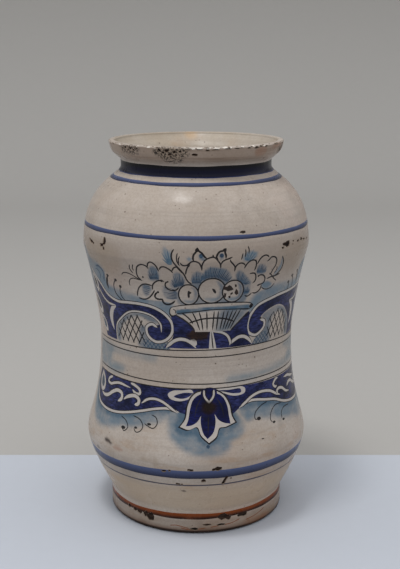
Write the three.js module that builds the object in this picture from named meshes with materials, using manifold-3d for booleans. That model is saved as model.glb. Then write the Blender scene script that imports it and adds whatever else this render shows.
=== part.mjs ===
// Albarello: a drug jar of tin-glazed earthenware, thrown on the wheel, with a drawn-in waist.
// Millimetres, +Z up, origin on the table at the centre of the foot, photographed side towards -Y.
import * as THREE from "three";
import { mergeVertices } from "three/addons/utils/BufferGeometryUtils.js";
import Module from "manifold-3d";

const wasm = await Module();
wasm.setup();

// Outside of the jar, measured over the glaze: radii, and the rise from each one to the next
const footRadius = 63.4;
const bulgeRadius = 80.2;
const waistRadius = 69.4;
const shoulderRadius = 80.5;
const neckRadius = 53.2;
const collarRadius = 59.2;
const rimRadius = 61.5;
const footRise = 17.5;
const bulgeRise = 42;
const waistRise = 71.5;
const shoulderRise = 67;
const neckRise = 54;
const grooveRise = 5.5;
const coveRise = 4;
const collarRise = 7.3;
const rimRise = 1.2;
const flareAngle = THREE.MathUtils.degToRad(61);

// Heights above the table
const bulgeHeight = footRise + bulgeRise;
const waistHeight = bulgeHeight + waistRise;
const shoulderHeight = waistHeight + shoulderRise;
const neckHeight = shoulderHeight + neckRise;
const grooveHeight = neckHeight + grooveRise;
const collarHeight = grooveHeight + coveRise;
const rimHeight = collarHeight + collarRise;
const height = rimHeight + rimRise;

// Rim, across its top. Its edge is rounded by rimRise.
const rimWidth = 4.6;

// Thicknesses
const wall = 6.5;
const glaze = 1;
const underGlaze = 0.02; // hair's breadth between the clay and the glaze
const floor = 9;

// Foot: a ring of bare clay round a shallow recess
const bareFoot = 1.5;
const footRing = 10;
const footRecess = 3;

// Facets round the jar, and sides of each flake
const turns = 48;
const flakeSides = 7;

const clayColor = 0x4a3527;
const glazeColor = 0xcbc0b1;
const liningColor = 0xcfc3a8;

// A stretch of wall that leaves one radius upright and reaches the next upright.
// leave and arrive are the shares of its height that each end keeps nearly upright.
function upright(from, to, leave, arrive, steps) {
  const rise = to.y - from.y;
  return new THREE.CubicBezierCurve(
    from,
    new THREE.Vector2(from.x, from.y + leave * rise),
    new THREE.Vector2(to.x, to.y - arrive * rise),
    to,
  ).getPoints(steps);
}

// Joins stretches end to end, leaving out the point that two of them share.
function join(...stretches) {
  return stretches.flat().filter((point, i, all) => i === 0 || point.distanceTo(all[i - 1]) > 1e-6);
}

// A quarter round of the rim's edge, from an angle in the section.
function rounding(centreRadius, fromAngle, steps) {
  const points = [];
  for (let i = 0; i <= steps; i++) {
    const angle = fromAngle + (i / steps) * (Math.PI / 2);
    points.push(
      new THREE.Vector2(
        centreRadius + rimRise * Math.cos(angle),
        rimHeight + rimRise * Math.sin(angle),
      ),
    );
  }
  return points;
}

// Outside of the jar from the bare foot edge up to the flat top of the rim
function outsideLine() {
  const footEdge = new THREE.Vector2(footRadius, bareFoot);
  const footTop = new THREE.Vector2(footRadius, footRise);
  const bulge = new THREE.Vector2(bulgeRadius, bulgeHeight);
  const waist = new THREE.Vector2(waistRadius, waistHeight);
  const shoulder = new THREE.Vector2(shoulderRadius, shoulderHeight);
  const neck = new THREE.Vector2(neckRadius, neckHeight);
  const groove = new THREE.Vector2(neckRadius, grooveHeight);
  const collar = new THREE.Vector2(collarRadius, collarHeight);
  const rim = new THREE.Vector2(rimRadius, rimHeight);

  const flareReach = 0.7 * (bulgeRadius - footRadius);
  const flare = new THREE.CubicBezierCurve(
    footTop,
    new THREE.Vector2(
      footRadius + flareReach * Math.cos(flareAngle),
      footRise + flareReach * Math.sin(flareAngle),
    ),
    new THREE.Vector2(bulgeRadius, bulgeHeight - 0.24 * bulgeRise),
    bulge,
  ).getPoints(4);

  // The cove under the collar turns out nearly level, and the collar then leans out to the rim
  const cove = new THREE.CubicBezierCurve(
    groove,
    new THREE.Vector2(neckRadius, grooveHeight + 0.6 * coveRise),
    new THREE.Vector2(collarRadius - 0.1 * coveRise, collarHeight - 0.5 * coveRise),
    collar,
  ).getPoints(4);
  const lean = new THREE.QuadraticBezierCurve(
    collar,
    new THREE.Vector2(collarRadius + 0.1 * collarRise, collarHeight + 0.6 * collarRise),
    rim,
  ).getPoints(3);

  return join(
    [footEdge],
    flare,
    upright(bulge, waist, 0.17, 0.66, 5),
    upright(waist, shoulder, 0.37, 0.02, 4),
    upright(shoulder, neck, 0.8, 0.13, 7),
    cove,
    lean,
    rounding(rimRadius - rimRise, 0, 2),
  );
}

// A line moved into the wall by a depth measured square to it
function inset(line, depth) {
  const square = (from, to) => new THREE.Vector2(from.y - to.y, to.x - from.x).normalize();
  return line.map((point, i) => {
    const before = square(line[Math.max(i - 1, 0)], line[Math.max(i, 1)]);
    const after = square(line[Math.min(i, line.length - 2)], line[Math.min(i + 1, line.length - 1)]);
    const middle = before.clone().add(after).normalize();
    return point.clone().addScaledVector(middle, depth / middle.dot(after));
  });
}

// Inside of the jar from the flat top of the rim down to the middle of the floor.
// From the neck down to the foot it keeps the wall's thickness behind the outside.
function insideLine(outside) {
  const mouthRadius = rimRadius - rimWidth;
  const floorTop = footRecess + floor;
  const belly = outside.filter((point) => point.y > footRise && point.y < neckHeight + 1e-6);
  const behind = inset(belly, wall).reverse();
  const throat = behind[0];

  const mouth = new THREE.CubicBezierCurve(
    new THREE.Vector2(mouthRadius, rimHeight),
    new THREE.Vector2(mouthRadius - 0.33 * collarRise, rimHeight - 0.5 * collarRise),
    new THREE.Vector2(throat.x, collarHeight),
    throat,
  ).getPoints(5);
  const middle = new THREE.Vector2(0, floorTop);
  const floorEdge = new THREE.Vector2(footRadius - 2 * wall, floorTop);

  return join(
    rounding(mouthRadius + rimRise, Math.PI / 2, 2),
    mouth,
    behind,
    [floorEdge, middle],
  );
}

// Turns a section about the jar's axis.
function turned(section) {
  return new THREE.LatheGeometry(section, turns).rotateX(Math.PI / 2);
}

// The solid of a closed geometry, for cutting
function solid(geometry) {
  const bare = geometry.clone();
  bare.deleteAttribute("normal");
  bare.deleteAttribute("uv");
  const merged = mergeVertices(bare, 1e-4);
  return new wasm.Manifold(
    new wasm.Mesh({
      numProp: 3,
      vertProperties: new Float32Array(merged.attributes.position.array),
      triVerts: new Uint32Array(merged.index.array),
    }),
  );
}

// The geometry of a solid that has been cut
function geometryOf(cut) {
  const mesh = cut.getMesh();
  return new THREE.BufferGeometry()
    .setAttribute("position", new THREE.BufferAttribute(new Float32Array(mesh.vertProperties), 3))
    .setIndex(new THREE.BufferAttribute(new Uint32Array(mesh.triVerts), 1));
}

const outside = outsideLine();
const skin = join(outside, insideLine(outside));
const glazeBack = inset(skin, glaze);
const clay = inset(skin, glaze + underGlaze);
const rimInside = outside.length; // where the rim's flat top ends and the lining begins

// Radius of the jar's outside at a height, between the points of its line
function outsideRadius(level) {
  const i = Math.max(1, outside.findIndex((point) => point.y >= level));
  const [below, above] = [outside[i - 1], outside[i]];
  return THREE.MathUtils.mapLinear(level, below.y, above.y, below.x, above.x);
}

// Flakes lost from the outer glaze: turn from the front towards +X in degrees, height, and size
const flakes = [
  { turn: -46, level: rimHeight - 2, wide: 12, tall: 3 },
  { turn: -15, level: rimHeight - 2, wide: 14, tall: 3.5 },
  { turn: -50, level: shoulderHeight + 7, wide: 5, tall: 8 },
  { turn: 50, level: shoulderHeight + 7, wide: 8, tall: 4 },
  { turn: 64, level: shoulderHeight + 6, wide: 14, tall: 3 },
  { turn: 11, level: bulgeHeight - 4.5, wide: 6, tall: 4 },
  { turn: 15, level: bulgeHeight - 14.5, wide: 4, tall: 8 },
  { turn: -49, level: footRise - 6.5, wide: 5, tall: 4 },
  { turn: -40, level: footRise - 7.5, wide: 11, tall: 4 },
  { turn: -31, level: footRise - 8.5, wide: 8, tall: 6 },
  { turn: 18, level: footRise - 6, wide: 10, tall: 5 },
  { turn: 31, level: footRise - 6.5, wide: 11, tall: 3.5 },
];

// A short bar through the glaze, with the flake's outline
function flakeCutter({ turn, level, wide, tall }) {
  const bar = new THREE.CylinderGeometry(1, 1, 4 * glaze, flakeSides);
  bar.scale(wide / 2, 1, tall / 2);
  bar.translate(0, -outsideRadius(level), level);
  return bar.rotateZ(THREE.MathUtils.degToRad(turn));
}

// Thrown clay pot: wall, rim, floor and foot ring
function earthenwareBody() {
  const ringInside = footRadius - glaze - footRing;
  const underside = [
    new THREE.Vector2(0, footRecess),
    new THREE.Vector2(ringInside - footRecess, footRecess),
    new THREE.Vector2(ringInside, 0),
    new THREE.Vector2(clay[0].x, 0),
  ];
  return turned([...underside, ...clay]);
}

// Tin glaze outside, from the bare foot edge to the inner edge of the rim, less its flakes
function outerGlaze() {
  const coat = [...skin.slice(0, rimInside + 1), ...glazeBack.slice(0, rimInside + 1).reverse()];
  const whole = solid(turned([...coat, coat[0]]));
  const flaked = flakes.reduce((left, flake) => left.subtract(solid(flakeCutter(flake))), whole);
  return geometryOf(flaked);
}

// Tin glaze inside, from the inner edge of the rim down and across the floor
function innerGlaze() {
  return turned([...glazeBack.slice(rimInside).reverse(), ...skin.slice(rimInside)]);
}

function piece(name, geometry, color, roughness) {
  const material = new THREE.MeshStandardMaterial({ color, roughness, metalness: 0 });
  const mesh = new THREE.Mesh(geometry, material);
  mesh.name = name;
  return mesh;
}

const albarello = new THREE.Group();
albarello.name = "albarello";
albarello.add(
  piece("earthenware_body", earthenwareBody(), clayColor, 0.9),
  piece("outer_glaze", outerGlaze(), glazeColor, 0.35),
  piece("inner_glaze", innerGlaze(), liningColor, 0.4),
);

export default albarello;
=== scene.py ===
"""Looks of the albarello: a waisted drug jar in white tin glaze, painted in blue round an empty scroll.

Shapes are in millimetres until a mesh is made; materials, stage, camera and light are in metres. The
painting is laid out on the unrolled jar: x runs round it from the middle of the photographed side, and z is
the height over the table.
"""
import math
from collections import namedtuple

import bpy
import numpy as np
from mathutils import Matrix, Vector, geometry, kdtree


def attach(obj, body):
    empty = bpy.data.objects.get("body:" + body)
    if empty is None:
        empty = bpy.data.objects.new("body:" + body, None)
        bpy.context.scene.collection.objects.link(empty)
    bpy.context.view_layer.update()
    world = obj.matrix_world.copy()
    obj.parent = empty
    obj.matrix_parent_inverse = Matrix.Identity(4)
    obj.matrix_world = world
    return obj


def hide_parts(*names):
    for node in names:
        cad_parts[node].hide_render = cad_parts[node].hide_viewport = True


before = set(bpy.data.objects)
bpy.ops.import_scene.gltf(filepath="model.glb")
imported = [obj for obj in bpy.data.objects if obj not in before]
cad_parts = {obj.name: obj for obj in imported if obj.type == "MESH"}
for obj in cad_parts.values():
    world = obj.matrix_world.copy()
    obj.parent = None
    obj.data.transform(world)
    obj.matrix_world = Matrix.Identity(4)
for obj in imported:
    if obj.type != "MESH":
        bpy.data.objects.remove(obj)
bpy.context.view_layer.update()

MM = 0.001

# Outside of the jar, as in the part's source: radii, and the rise from each one to the next
FOOT_RADIUS = 63.4
BULGE_RADIUS = 80.2
WAIST_RADIUS = 69.4
SHOULDER_RADIUS = 80.5
NECK_RADIUS = 53.2
COLLAR_RADIUS = 59.2
RIM_RADIUS = 61.5
FOOT_RISE = 17.5
BULGE_RISE = 42
WAIST_RISE = 71.5
SHOULDER_RISE = 67
NECK_RISE = 54
GROOVE_RISE = 5.5
COVE_RISE = 4
COLLAR_RISE = 7.3
RIM_RISE = 1.2
FLARE_ANGLE = math.radians(61)
COLLAR_SOFTENING = 2  # how far below its height the cove starts, to run smoothly into the collar
COLLAR_IN = 0.4  # how far in and up the collar's lower corner is worn round
COLLAR_UP = 0.5

BULGE_HEIGHT = FOOT_RISE + BULGE_RISE
WAIST_HEIGHT = BULGE_HEIGHT + WAIST_RISE
SHOULDER_HEIGHT = WAIST_HEIGHT + SHOULDER_RISE
NECK_HEIGHT = SHOULDER_HEIGHT + NECK_RISE
GROOVE_HEIGHT = NECK_HEIGHT + GROOVE_RISE
COLLAR_HEIGHT = GROOVE_HEIGHT + COVE_RISE
RIM_HEIGHT = COLLAR_HEIGHT + COLLAR_RISE
HEIGHT = RIM_HEIGHT + RIM_RISE

RIM_WIDTH = 4.6
WALL = 6.5
GLAZE = 1
UNDER_GLAZE = 0.05  # gap between the clay and the glaze
FLOOR = 9
BARE_FOOT = 1.5
FOOT_RING = 10
FOOT_RECESS = 3

# How finely the shapes are drawn
LINE_STEP = 0.5  # along the lines of the section
HIDDEN_STEP = 3  # along a hidden line, which also has a point for each HIDDEN_BEND radians of its bends
HIDDEN_BEND = 0.07
COLUMNS = 160  # round the jar
ROW_STEP = 2.8  # from row to row up the outside, less where a row would turn by more than ROW_BEND
ROW_BEND = 0.12
LEAST_ROW = 0.35
PAINT_STEP = 0.9  # along a painted outline
FADE_STEP = 1.1  # between points where thinned paint fades out over a short way
BACK_RINGS = 60  # up the unseen back of the glaze
TOUCHING = 0.001

UNROLL_RADIUS = 75  # radius at which an angle round the jar becomes a length on the unrolled jar
HALF_TURN = math.pi * UNROLL_RADIUS
MIDDLE = 9.5  # the painting is nearly the same on both sides of this upright line
RESERVE_EDGE = 1.1  # how much wider than a white stroke its dark edge is
ALMOND_EDGE = 1.1  # size of an almond leaf's dark edge and of its coloured middle, as shares of the leaf
ALMOND_MIDDLE = 0.6

MAP_EDGE = 0.002  # empty edge of the texture, and the strip at its foot that the glaze's unseen back gets
BACK_MAP = 0.028

# Paints of the brushwork, and thinned paints that fade out and may lie over others, one of which also lays
# painted shade under the shoulder
PAINTS = ("white", "cobalt", "indigo", "blue", "line", "navy", "ink", "sky", "teal", "rust", "brown", "clay",
          "edge", "worn")
SOFT_PAINTS = ("dust", "stain", "wash", "halo", "petal", "soot", "grime")


# Lines of the jar's section, as rows of radius and height

def bezier(start, leave, arrive, end):
    """A curve from start to end that sets off towards leave and comes in from arrive."""
    start, leave, arrive, end = (np.array(point, float) for point in (start, leave, arrive, end))
    steps = max(4, round(np.linalg.norm(end - start) / LINE_STEP))
    t = np.linspace(0, 1, steps + 1)[:, None]
    return (1 - t) ** 3 * start + 3 * (1 - t) ** 2 * t * leave + 3 * (1 - t) * t * t * arrive + t ** 3 * end


def upright(start, end, leave, arrive):
    """A stretch of wall that leaves one radius upright and reaches the next one upright.

    It keeps upright for a share of its rise, leave at its start and arrive at its end.
    """
    rise = end[1] - start[1]
    return bezier(start, (start[0], start[1] + leave * rise), (end[0], end[1] - arrive * rise), end)


def rounding(radius, from_angle):
    """A quarter round of the rim's edge."""
    angle = from_angle + np.linspace(0, math.pi / 2, 7)
    return np.column_stack([radius + RIM_RISE * np.cos(angle), RIM_HEIGHT + RIM_RISE * np.sin(angle)])


def join(*stretches):
    """Stretches end to end, without the point that two of them share."""
    line = np.concatenate([np.array(stretch, float) for stretch in stretches])
    gaps = np.linalg.norm(np.diff(line, axis=0), axis=1)
    return line[np.append(True, gaps > 1e-6)]


def inset(line, depth):
    """A line moved into the wall by a depth measured square to it."""
    ahead = np.gradient(line, axis=0)
    ahead /= np.linalg.norm(ahead, axis=1)[:, None]
    return line + depth * np.column_stack([-ahead[:, 1], ahead[:, 0]])


def coarser(line):
    """The same line with fewer points where it is nearly straight; its corners stay."""
    ahead = np.diff(line, axis=0)
    heading = np.arctan2(ahead[:, 1], ahead[:, 0])
    bend = np.abs(np.diff(np.unwrap(heading)))
    gone = np.append(0, np.cumsum(np.linalg.norm(ahead, axis=1)))
    measure = gone / HIDDEN_STEP + np.cumsum([0, *bend, 0]) / HIDDEN_BEND
    kept = np.append(True, np.diff(np.floor(measure)) > 0)
    kept[-1] = True
    return line[kept]


def outside_line():
    """From the bare edge of the foot up to the inner edge of the rim's flat top.

    The shares say how far each curve keeps its heading, as in the part's source.
    """
    foot_top = (FOOT_RADIUS, FOOT_RISE)
    bulge = (BULGE_RADIUS, BULGE_HEIGHT)
    waist = (WAIST_RADIUS, WAIST_HEIGHT)
    shoulder = (SHOULDER_RADIUS, SHOULDER_HEIGHT)
    neck = (NECK_RADIUS, NECK_HEIGHT)
    groove = (NECK_RADIUS, GROOVE_HEIGHT - COLLAR_SOFTENING)
    collar = (COLLAR_RADIUS - COLLAR_IN, COLLAR_HEIGHT + COLLAR_UP)
    rim = (RIM_RADIUS, RIM_HEIGHT)
    reach = 0.7 * (BULGE_RADIUS - FOOT_RADIUS)
    flare_out = (FOOT_RADIUS + reach * math.cos(FLARE_ANGLE), FOOT_RISE + reach * math.sin(FLARE_ANGLE))
    lean_out = 0.35 * COVE_RISE
    lean_up = 0.5 * COVE_RISE
    cove_in = (collar[0] - lean_out, collar[1] - lean_up)
    lean = (collar[0] + lean_out, collar[1] + lean_up)
    return join(
        upright((FOOT_RADIUS, BARE_FOOT), foot_top, 0.3, 0.3),
        bezier(foot_top, flare_out, (BULGE_RADIUS, BULGE_HEIGHT - 0.24 * BULGE_RISE), bulge),
        upright(bulge, waist, 0.17, 0.66),
        upright(waist, shoulder, 0.37, 0.02),
        upright(shoulder, neck, 0.8, 0.13),
        upright(neck, groove, 0.3, 0.3),
        bezier(groove, (NECK_RADIUS, groove[1] + 0.7 * COVE_RISE), cove_in, collar),
        bezier(collar, lean, lean, rim),
        rounding(RIM_RADIUS - RIM_RISE, 0),
        [(RIM_RADIUS - RIM_WIDTH + RIM_RISE, HEIGHT)],
    )


def inside_line(outside):
    """From the inner edge of the rim's flat top down to the middle of the floor."""
    mouth_radius = RIM_RADIUS - RIM_WIDTH
    floor_top = FOOT_RECESS + FLOOR
    level = outside[:, 1]
    belly = outside[(level > FOOT_RISE) & (level < NECK_HEIGHT + 1e-6)]
    behind = inset(belly, WALL)[::-1]
    throat = behind[0]
    mouth = bezier(
        (mouth_radius, RIM_HEIGHT),
        (mouth_radius - 0.33 * COLLAR_RISE, RIM_HEIGHT - 0.5 * COLLAR_RISE),
        (throat[0], COLLAR_HEIGHT),
        throat,
    )
    floor_edge = (FOOT_RADIUS - 2 * WALL, floor_top)
    return join(
        rounding(mouth_radius + RIM_RISE, math.pi / 2),
        mouth,
        behind,
        bezier(behind[-1], (behind[-1][0] - 1, floor_top), (floor_edge[0] + 1, floor_top), floor_edge),
        [(0.6 * floor_edge[0], floor_top), (0.3 * floor_edge[0], floor_top), (0, floor_top)],
    )


outside = outside_line()
inside_wall = inside_line(outside)
along = np.append(0, np.cumsum(np.linalg.norm(np.diff(outside, axis=0), axis=1)))


def along_at(level):
    """How far along the outside line a height lies; what is over the jar's height runs on across the rim."""
    level = np.asarray(level, float)
    rising = along[outside[:, 1] < HEIGHT - 1e-6]
    return np.interp(level, outside[:len(rising), 1], rising) + np.maximum(0, level - HEIGHT)


def unevenness(angle, level):
    """How far the hand-thrown wall lies inside its true circle: slow waves and fine throwing rings."""
    out_of_round = 0.14
    ring_depth = 0.035
    slow = np.sin(2 * angle + 0.4 + level / 90) + 0.6 * np.sin(3 * angle + 1.7 - level / 55)
    rings = np.sin(level / 1.35 + 1.2 * np.sin(angle + 0.5)) * (0.6 + 0.4 * np.sin(level / 17))
    return out_of_round * (1.6 - slow) / 1.6 + ring_depth * (1 + rings)


def skin(x, reach, depth=0.0):
    """Points of the outside, x round it and reach along its line, a depth under it."""
    angle = x / UNROLL_RADIUS
    radius = np.interp(reach, along, outside[:, 0])
    level = np.interp(reach, along, outside[:, 1])
    under = inset(outside, 1) - outside
    radius = radius + depth * np.interp(reach, along, under[:, 0]) - unevenness(angle, level)
    level = level + depth * np.interp(reach, along, under[:, 1])
    return np.column_stack([radius * np.sin(angle), -radius * np.cos(angle), level])


# Brushwork: outlines on the unrolled jar, kept in the order that they are painted

def through(before, start, end, after):
    """Points on a smooth curve from start up to, but without, end."""
    knots = np.cumsum([0] + [max(np.linalg.norm(b - a), 1e-3) ** 0.5 for a, b in
                             ((before, start), (start, end), (end, after))])
    count = max(1, math.ceil(np.linalg.norm(end - start) / PAINT_STEP))
    t = (knots[1] + (knots[2] - knots[1]) * np.arange(count) / count)[:, None]

    def blend(low, high, first, last):
        return ((last - t) * low + (t - first) * high) / (last - first)

    near = blend(before, start, knots[0], knots[1])
    middle = blend(start, end, knots[1], knots[2])
    far = blend(end, after, knots[2], knots[3])
    return blend(blend(near, middle, knots[0], knots[2]), blend(middle, far, knots[1], knots[3]),
                 knots[1], knots[2])


def smooth(points, closed=False):
    """A smooth curve through the points. A point given twice is a corner."""
    points = np.array(points, float)
    if closed:
        doubled = [i for i in range(len(points)) if np.allclose(points[i], points[i - 1])]
        if doubled:
            points = np.roll(points, -doubled[0], axis=0)
        points = np.vstack([points, points[:1]])
    breaks = [i for i in range(1, len(points)) if np.allclose(points[i], points[i - 1])]
    curve = []
    for run in np.split(points, breaks):
        if len(run) < 2:
            continue
        if closed and not breaks:
            before, after = run[-2], run[1]
        else:
            before, after = 2 * run[0] - run[1], 2 * run[-1] - run[-2]
        padded = [before, *run, after]
        for i in range(len(run) - 1):
            curve.extend(through(*padded[i:i + 4]))
    if not closed:
        curve.append(points[-1])
    return np.array(curve)


def brushed(points, width, start, end):
    """Outline of a stroke that swells from a point over its start and thins to a point over its end."""
    line = smooth(points)
    ahead = np.gradient(line, axis=0)
    ahead /= np.maximum(np.linalg.norm(ahead, axis=1), 1e-9)[:, None]
    gone = np.append(0, np.cumsum(np.linalg.norm(np.diff(line, axis=0), axis=1)))
    swell = np.clip(gone / start, 0, 1) * np.clip((gone[-1] - gone) / end, 0, 1)
    narrowest = 0.15
    half = 0.5 * width * np.maximum(np.sqrt(swell), narrowest)
    side = half[:, None] * np.column_stack([-ahead[:, 1], ahead[:, 0]])
    return np.vstack([line + side, (line - side)[::-1]])


def spaced(points, count):
    """Points spread evenly along the smooth line through the given ones."""
    line = smooth(points)
    gone = np.append(0, np.cumsum(np.linalg.norm(np.diff(line, axis=0), axis=1)))
    at = np.linspace(0, gone[-1], count)
    return np.column_stack([np.interp(at, gone, line[:, 0]), np.interp(at, gone, line[:, 1])])


def mirrored(points):
    """The same points on the other side of the painting's middle line."""
    return [(2 * MIDDLE - x, z) for x, z in points]


SIDES = (list, mirrored)  # the left side as it is drawn, and its mirror image


def cornered(points):
    """The same points with straight lines between them."""
    return np.repeat(np.array(points, float), 2, axis=0)


def resized(points, wide, tall=None, middle=None):
    """The same outline made wider and taller about its middle, or about another point."""
    points = np.array(points, float)
    middle = points.mean(0) if middle is None else np.array(middle)
    return middle + (wide, tall or wide) * (points - middle)


def oval(x, z, wide, tall):
    """A round or oval outline about a point."""
    turn = np.linspace(0, 2 * math.pi, 10, endpoint=False)
    return np.column_stack([x + wide / 2 * np.cos(turn), z + tall / 2 * np.sin(turn)])


Shape = namedtuple("Shape", "paint outline within softness", defaults=(None, None))
Band = namedtuple("Band", "low high lean")


class Painting:
    """Paint in the order of the brush; a later shape covers the ones before it."""

    def __init__(self):
        self.shapes = []
        self.bands = []

    def patch(self, paint, points):
        """An evenly painted shape with a hard edge."""
        self.shapes.append(Shape(paint, smooth(points, closed=True)))

    def shade(self, layer, points, softness):
        """Thinned paint that fades out over its edge."""
        self.shapes.append(Shape(layer, smooth(points, closed=True), softness=softness))

    def stroke(self, paint, points, width, start=None, end=None, within=None):
        """A stroke that swells over its start and thins over its end; an outline may cut it off."""
        start = start or 1.2 * width
        self.shapes.append(Shape(paint, brushed(points, width, start, end or start), within))

    def ink(self, points, width=1.0):
        """A dark line of the pen, with short ends."""
        self.stroke("ink", points, width, 1.5 * width)

    def reserve(self, points, width, start, end):
        """A white stroke with a dark edge, left in the blue round it."""
        self.stroke("ink", points, width + RESERVE_EDGE, start, end)
        self.stroke("white", points, width, start, end)

    def almond(self, points, fill):
        """A white leaf with a dark edge and a coloured middle."""
        self.patch("ink", resized(points, ALMOND_EDGE))
        self.patch("white", points)
        self.patch(fill, resized(points, ALMOND_MIDDLE))

    def dot(self, paint, x, z, wide, tall=None):
        """A round or oval spot."""
        self.patch(paint, oval(x, z, wide, tall or wide))

    def feather(self, roots, tips, count, width=0.75, paint="teal"):
        """Fine strokes side by side from a root line out to a tip line, no two of one length."""
        swelling, thinning = 0.15, 0.8  # shares of a stroke's length
        for i, (root, tip) in enumerate(zip(spaced(roots, count), spaced(tips, count))):
            reach = 0.8 + 0.2 * math.sin(2.4 * i)
            length = reach * math.dist(root, tip)
            end = root + reach * (tip - root)
            self.stroke(paint, [root, end], width, swelling * length, thinning * length)

    def band(self, paint, low, high, wave, lean=0.0):
        """A line of paint right round the jar, with a hand's unsteadiness, higher on one side by lean."""
        x = np.linspace(-HALF_TURN, HALF_TURN, 2 * COLUMNS + 1)
        angle = x / UNROLL_RADIUS
        tilt = lean * np.sin(angle)
        under = low + tilt + wave * (np.sin(5 * angle + low) + 0.6 * np.sin(17 * angle + 2 * low))
        over = high + tilt + wave * (np.sin(6 * angle + high) + 0.6 * np.sin(13 * angle + 3 * high))
        outline = np.vstack([np.column_stack([x, under]), np.column_stack([x, over])[::-1]])
        self.shapes.append(Shape(paint, outline))
        self.bands.append(Band(low, high, lean))


# The parts of the painting

def paint_halos(p):
    """Soft grey-blue shadow behind the scrolls, the fruit and the pendant."""
    end = [(-102, 165), (-104, 182), (-101, 199), (-96, 198), (-91, 192), (-83, 190.5), (-76, 189.5),
           (-70.5, 185.5), (-69.5, 179), (-66, 173.5), (-74, 168)]
    p.shade("halo", end, 3)
    p.shade("halo", mirrored(end), 3)
    p.shade("halo", [(-80, 165), (-72, 175), (-60, 174.5), (-50, 173), (-40, 172), (-30, 171.5), (-16, 169),
                     (-14, 160), (-40, 161)], 3.5)
    p.shade("halo", [(36, 160), (40, 172), (50, 177), (62, 178), (75, 177), (90, 176), (99, 166),
                     (60, 163)], 4)
    p.shade("halo", [(-104, 99), (-100, 80), (-88, 72), (-71, 73), (-60, 76), (-50, 78), (-41, 80),
                     (-32, 82.5), (-23.5, 86), (-12, 96), (-60, 98)], 4.5)
    p.shade("petal", [(-103, 98), (-99, 88), (-92, 82), (-80, 80.5), (-70, 81), (-60, 82), (-50, 84.5),
                      (-40, 87), (-30, 89.5), (-20, 91.5), (-15, 96), (-60, 98)], 2.7)
    p.shade("halo", [(30, 96), (36.3, 84.5), (43.5, 85.5), (55, 83), (69, 79.5), (82, 77), (98, 73),
                     (114, 75), (122, 84), (124, 99), (80, 98)], 4.5)
    p.shade("petal", [(30, 96), (35, 92), (42, 93), (55, 91.5), (65, 89.5), (75, 86), (85, 84), (95, 83),
                      (107, 83), (115, 88), (122, 98), (80, 98)], 2.7)
    p.shade("halo", [(-21, 94), (-20, 84.6), (-18.5, 77), (-14, 72), (-8.6, 68), (-2.5, 65.4), (7.7, 63.8),
                     (17, 65), (22.5, 68.6), (23.8, 72.5), (28.6, 74.4), (33.4, 78.4), (34, 84.5), (31, 90),
                     (20, 100), (0, 100)], 4.5)
    p.shade("petal", [(-13, 92), (-15, 84.5), (-13.5, 79.5), (-7, 77.5), (-1, 78), (2, 73.5), (8, 69.5),
                      (14.5, 73), (18, 78), (25, 79.5), (30.5, 83), (29.5, 89), (20, 100), (0, 100)], 2.7)


def paint_upper_scrolls(p):
    """Two cobalt scrolls that curl in beside the bowl, edged in white, round panels of lattice."""
    left_line = [(-95, 184), (-88, 179.5), (-80.5, 174.8), (-72, 168.3), (-61, 165.2), (-50, 166),
                 (-40, 166.3), (-30, 165), (-22, 161), (-17, 154.5), (-17.3, 147.5), (-22.5, 142),
                 (-30, 140.5), (-36, 144.5), (-36.5, 150), (-32, 152.8), (-28, 150.8)]
    right_line = [(118, 178), (109, 174), (97, 171.3), (80, 170), (65, 169.3), (57, 168), (50, 166.5),
                  (45, 164.5), (41.5, 161), (39, 157), (38, 152), (38.5, 148), (40, 145.5), (46, 143.3),
                  (52.3, 147), (53.5, 150), (52.8, 152.5), (48.8, 154)]
    left_under = [(-25, 147.5), (-25.5, 153.5), (-31, 158.5), (-40, 160.5), (-50, 159.3), (-60, 153),
                  (-66, 147), (-67.5, 136)]
    right_under = [(49, 156), (55, 160), (65, 162), (70, 161), (75, 158.5), (83, 151), (86.5, 144),
                   (86.5, 136)]

    paint_panels(p, left_under, right_under)
    left_field = [(-67.5, 136), (-67.5, 136), (-83, 136), (-83, 136), (-86, 143), (-89, 150), (-92, 158),
                  (-94, 166), (-96, 174)]
    p.patch("cobalt", left_line[2:16] + [(-28.5, 151.8), (-28, 152.5)] + left_under[1:] + left_field)
    p.patch("cobalt", right_line[2:18] + right_under + mirrored(left_field))
    p.dot("cobalt", -30.3, 147, 10, 9)
    p.dot("cobalt", 46.3, 148.6, 11, 9)

    for side in SIDES:
        paint_scroll_end(p, side)

    p.reserve(left_under, 1.1, 4, 3)
    for line in (left_line, right_line):
        p.reserve(line, 1.8, 3, 2)
    p.dot("ink", -27.5, 151.5, 1.6)
    p.dot("ink", 49, 155, 1.5)


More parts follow.
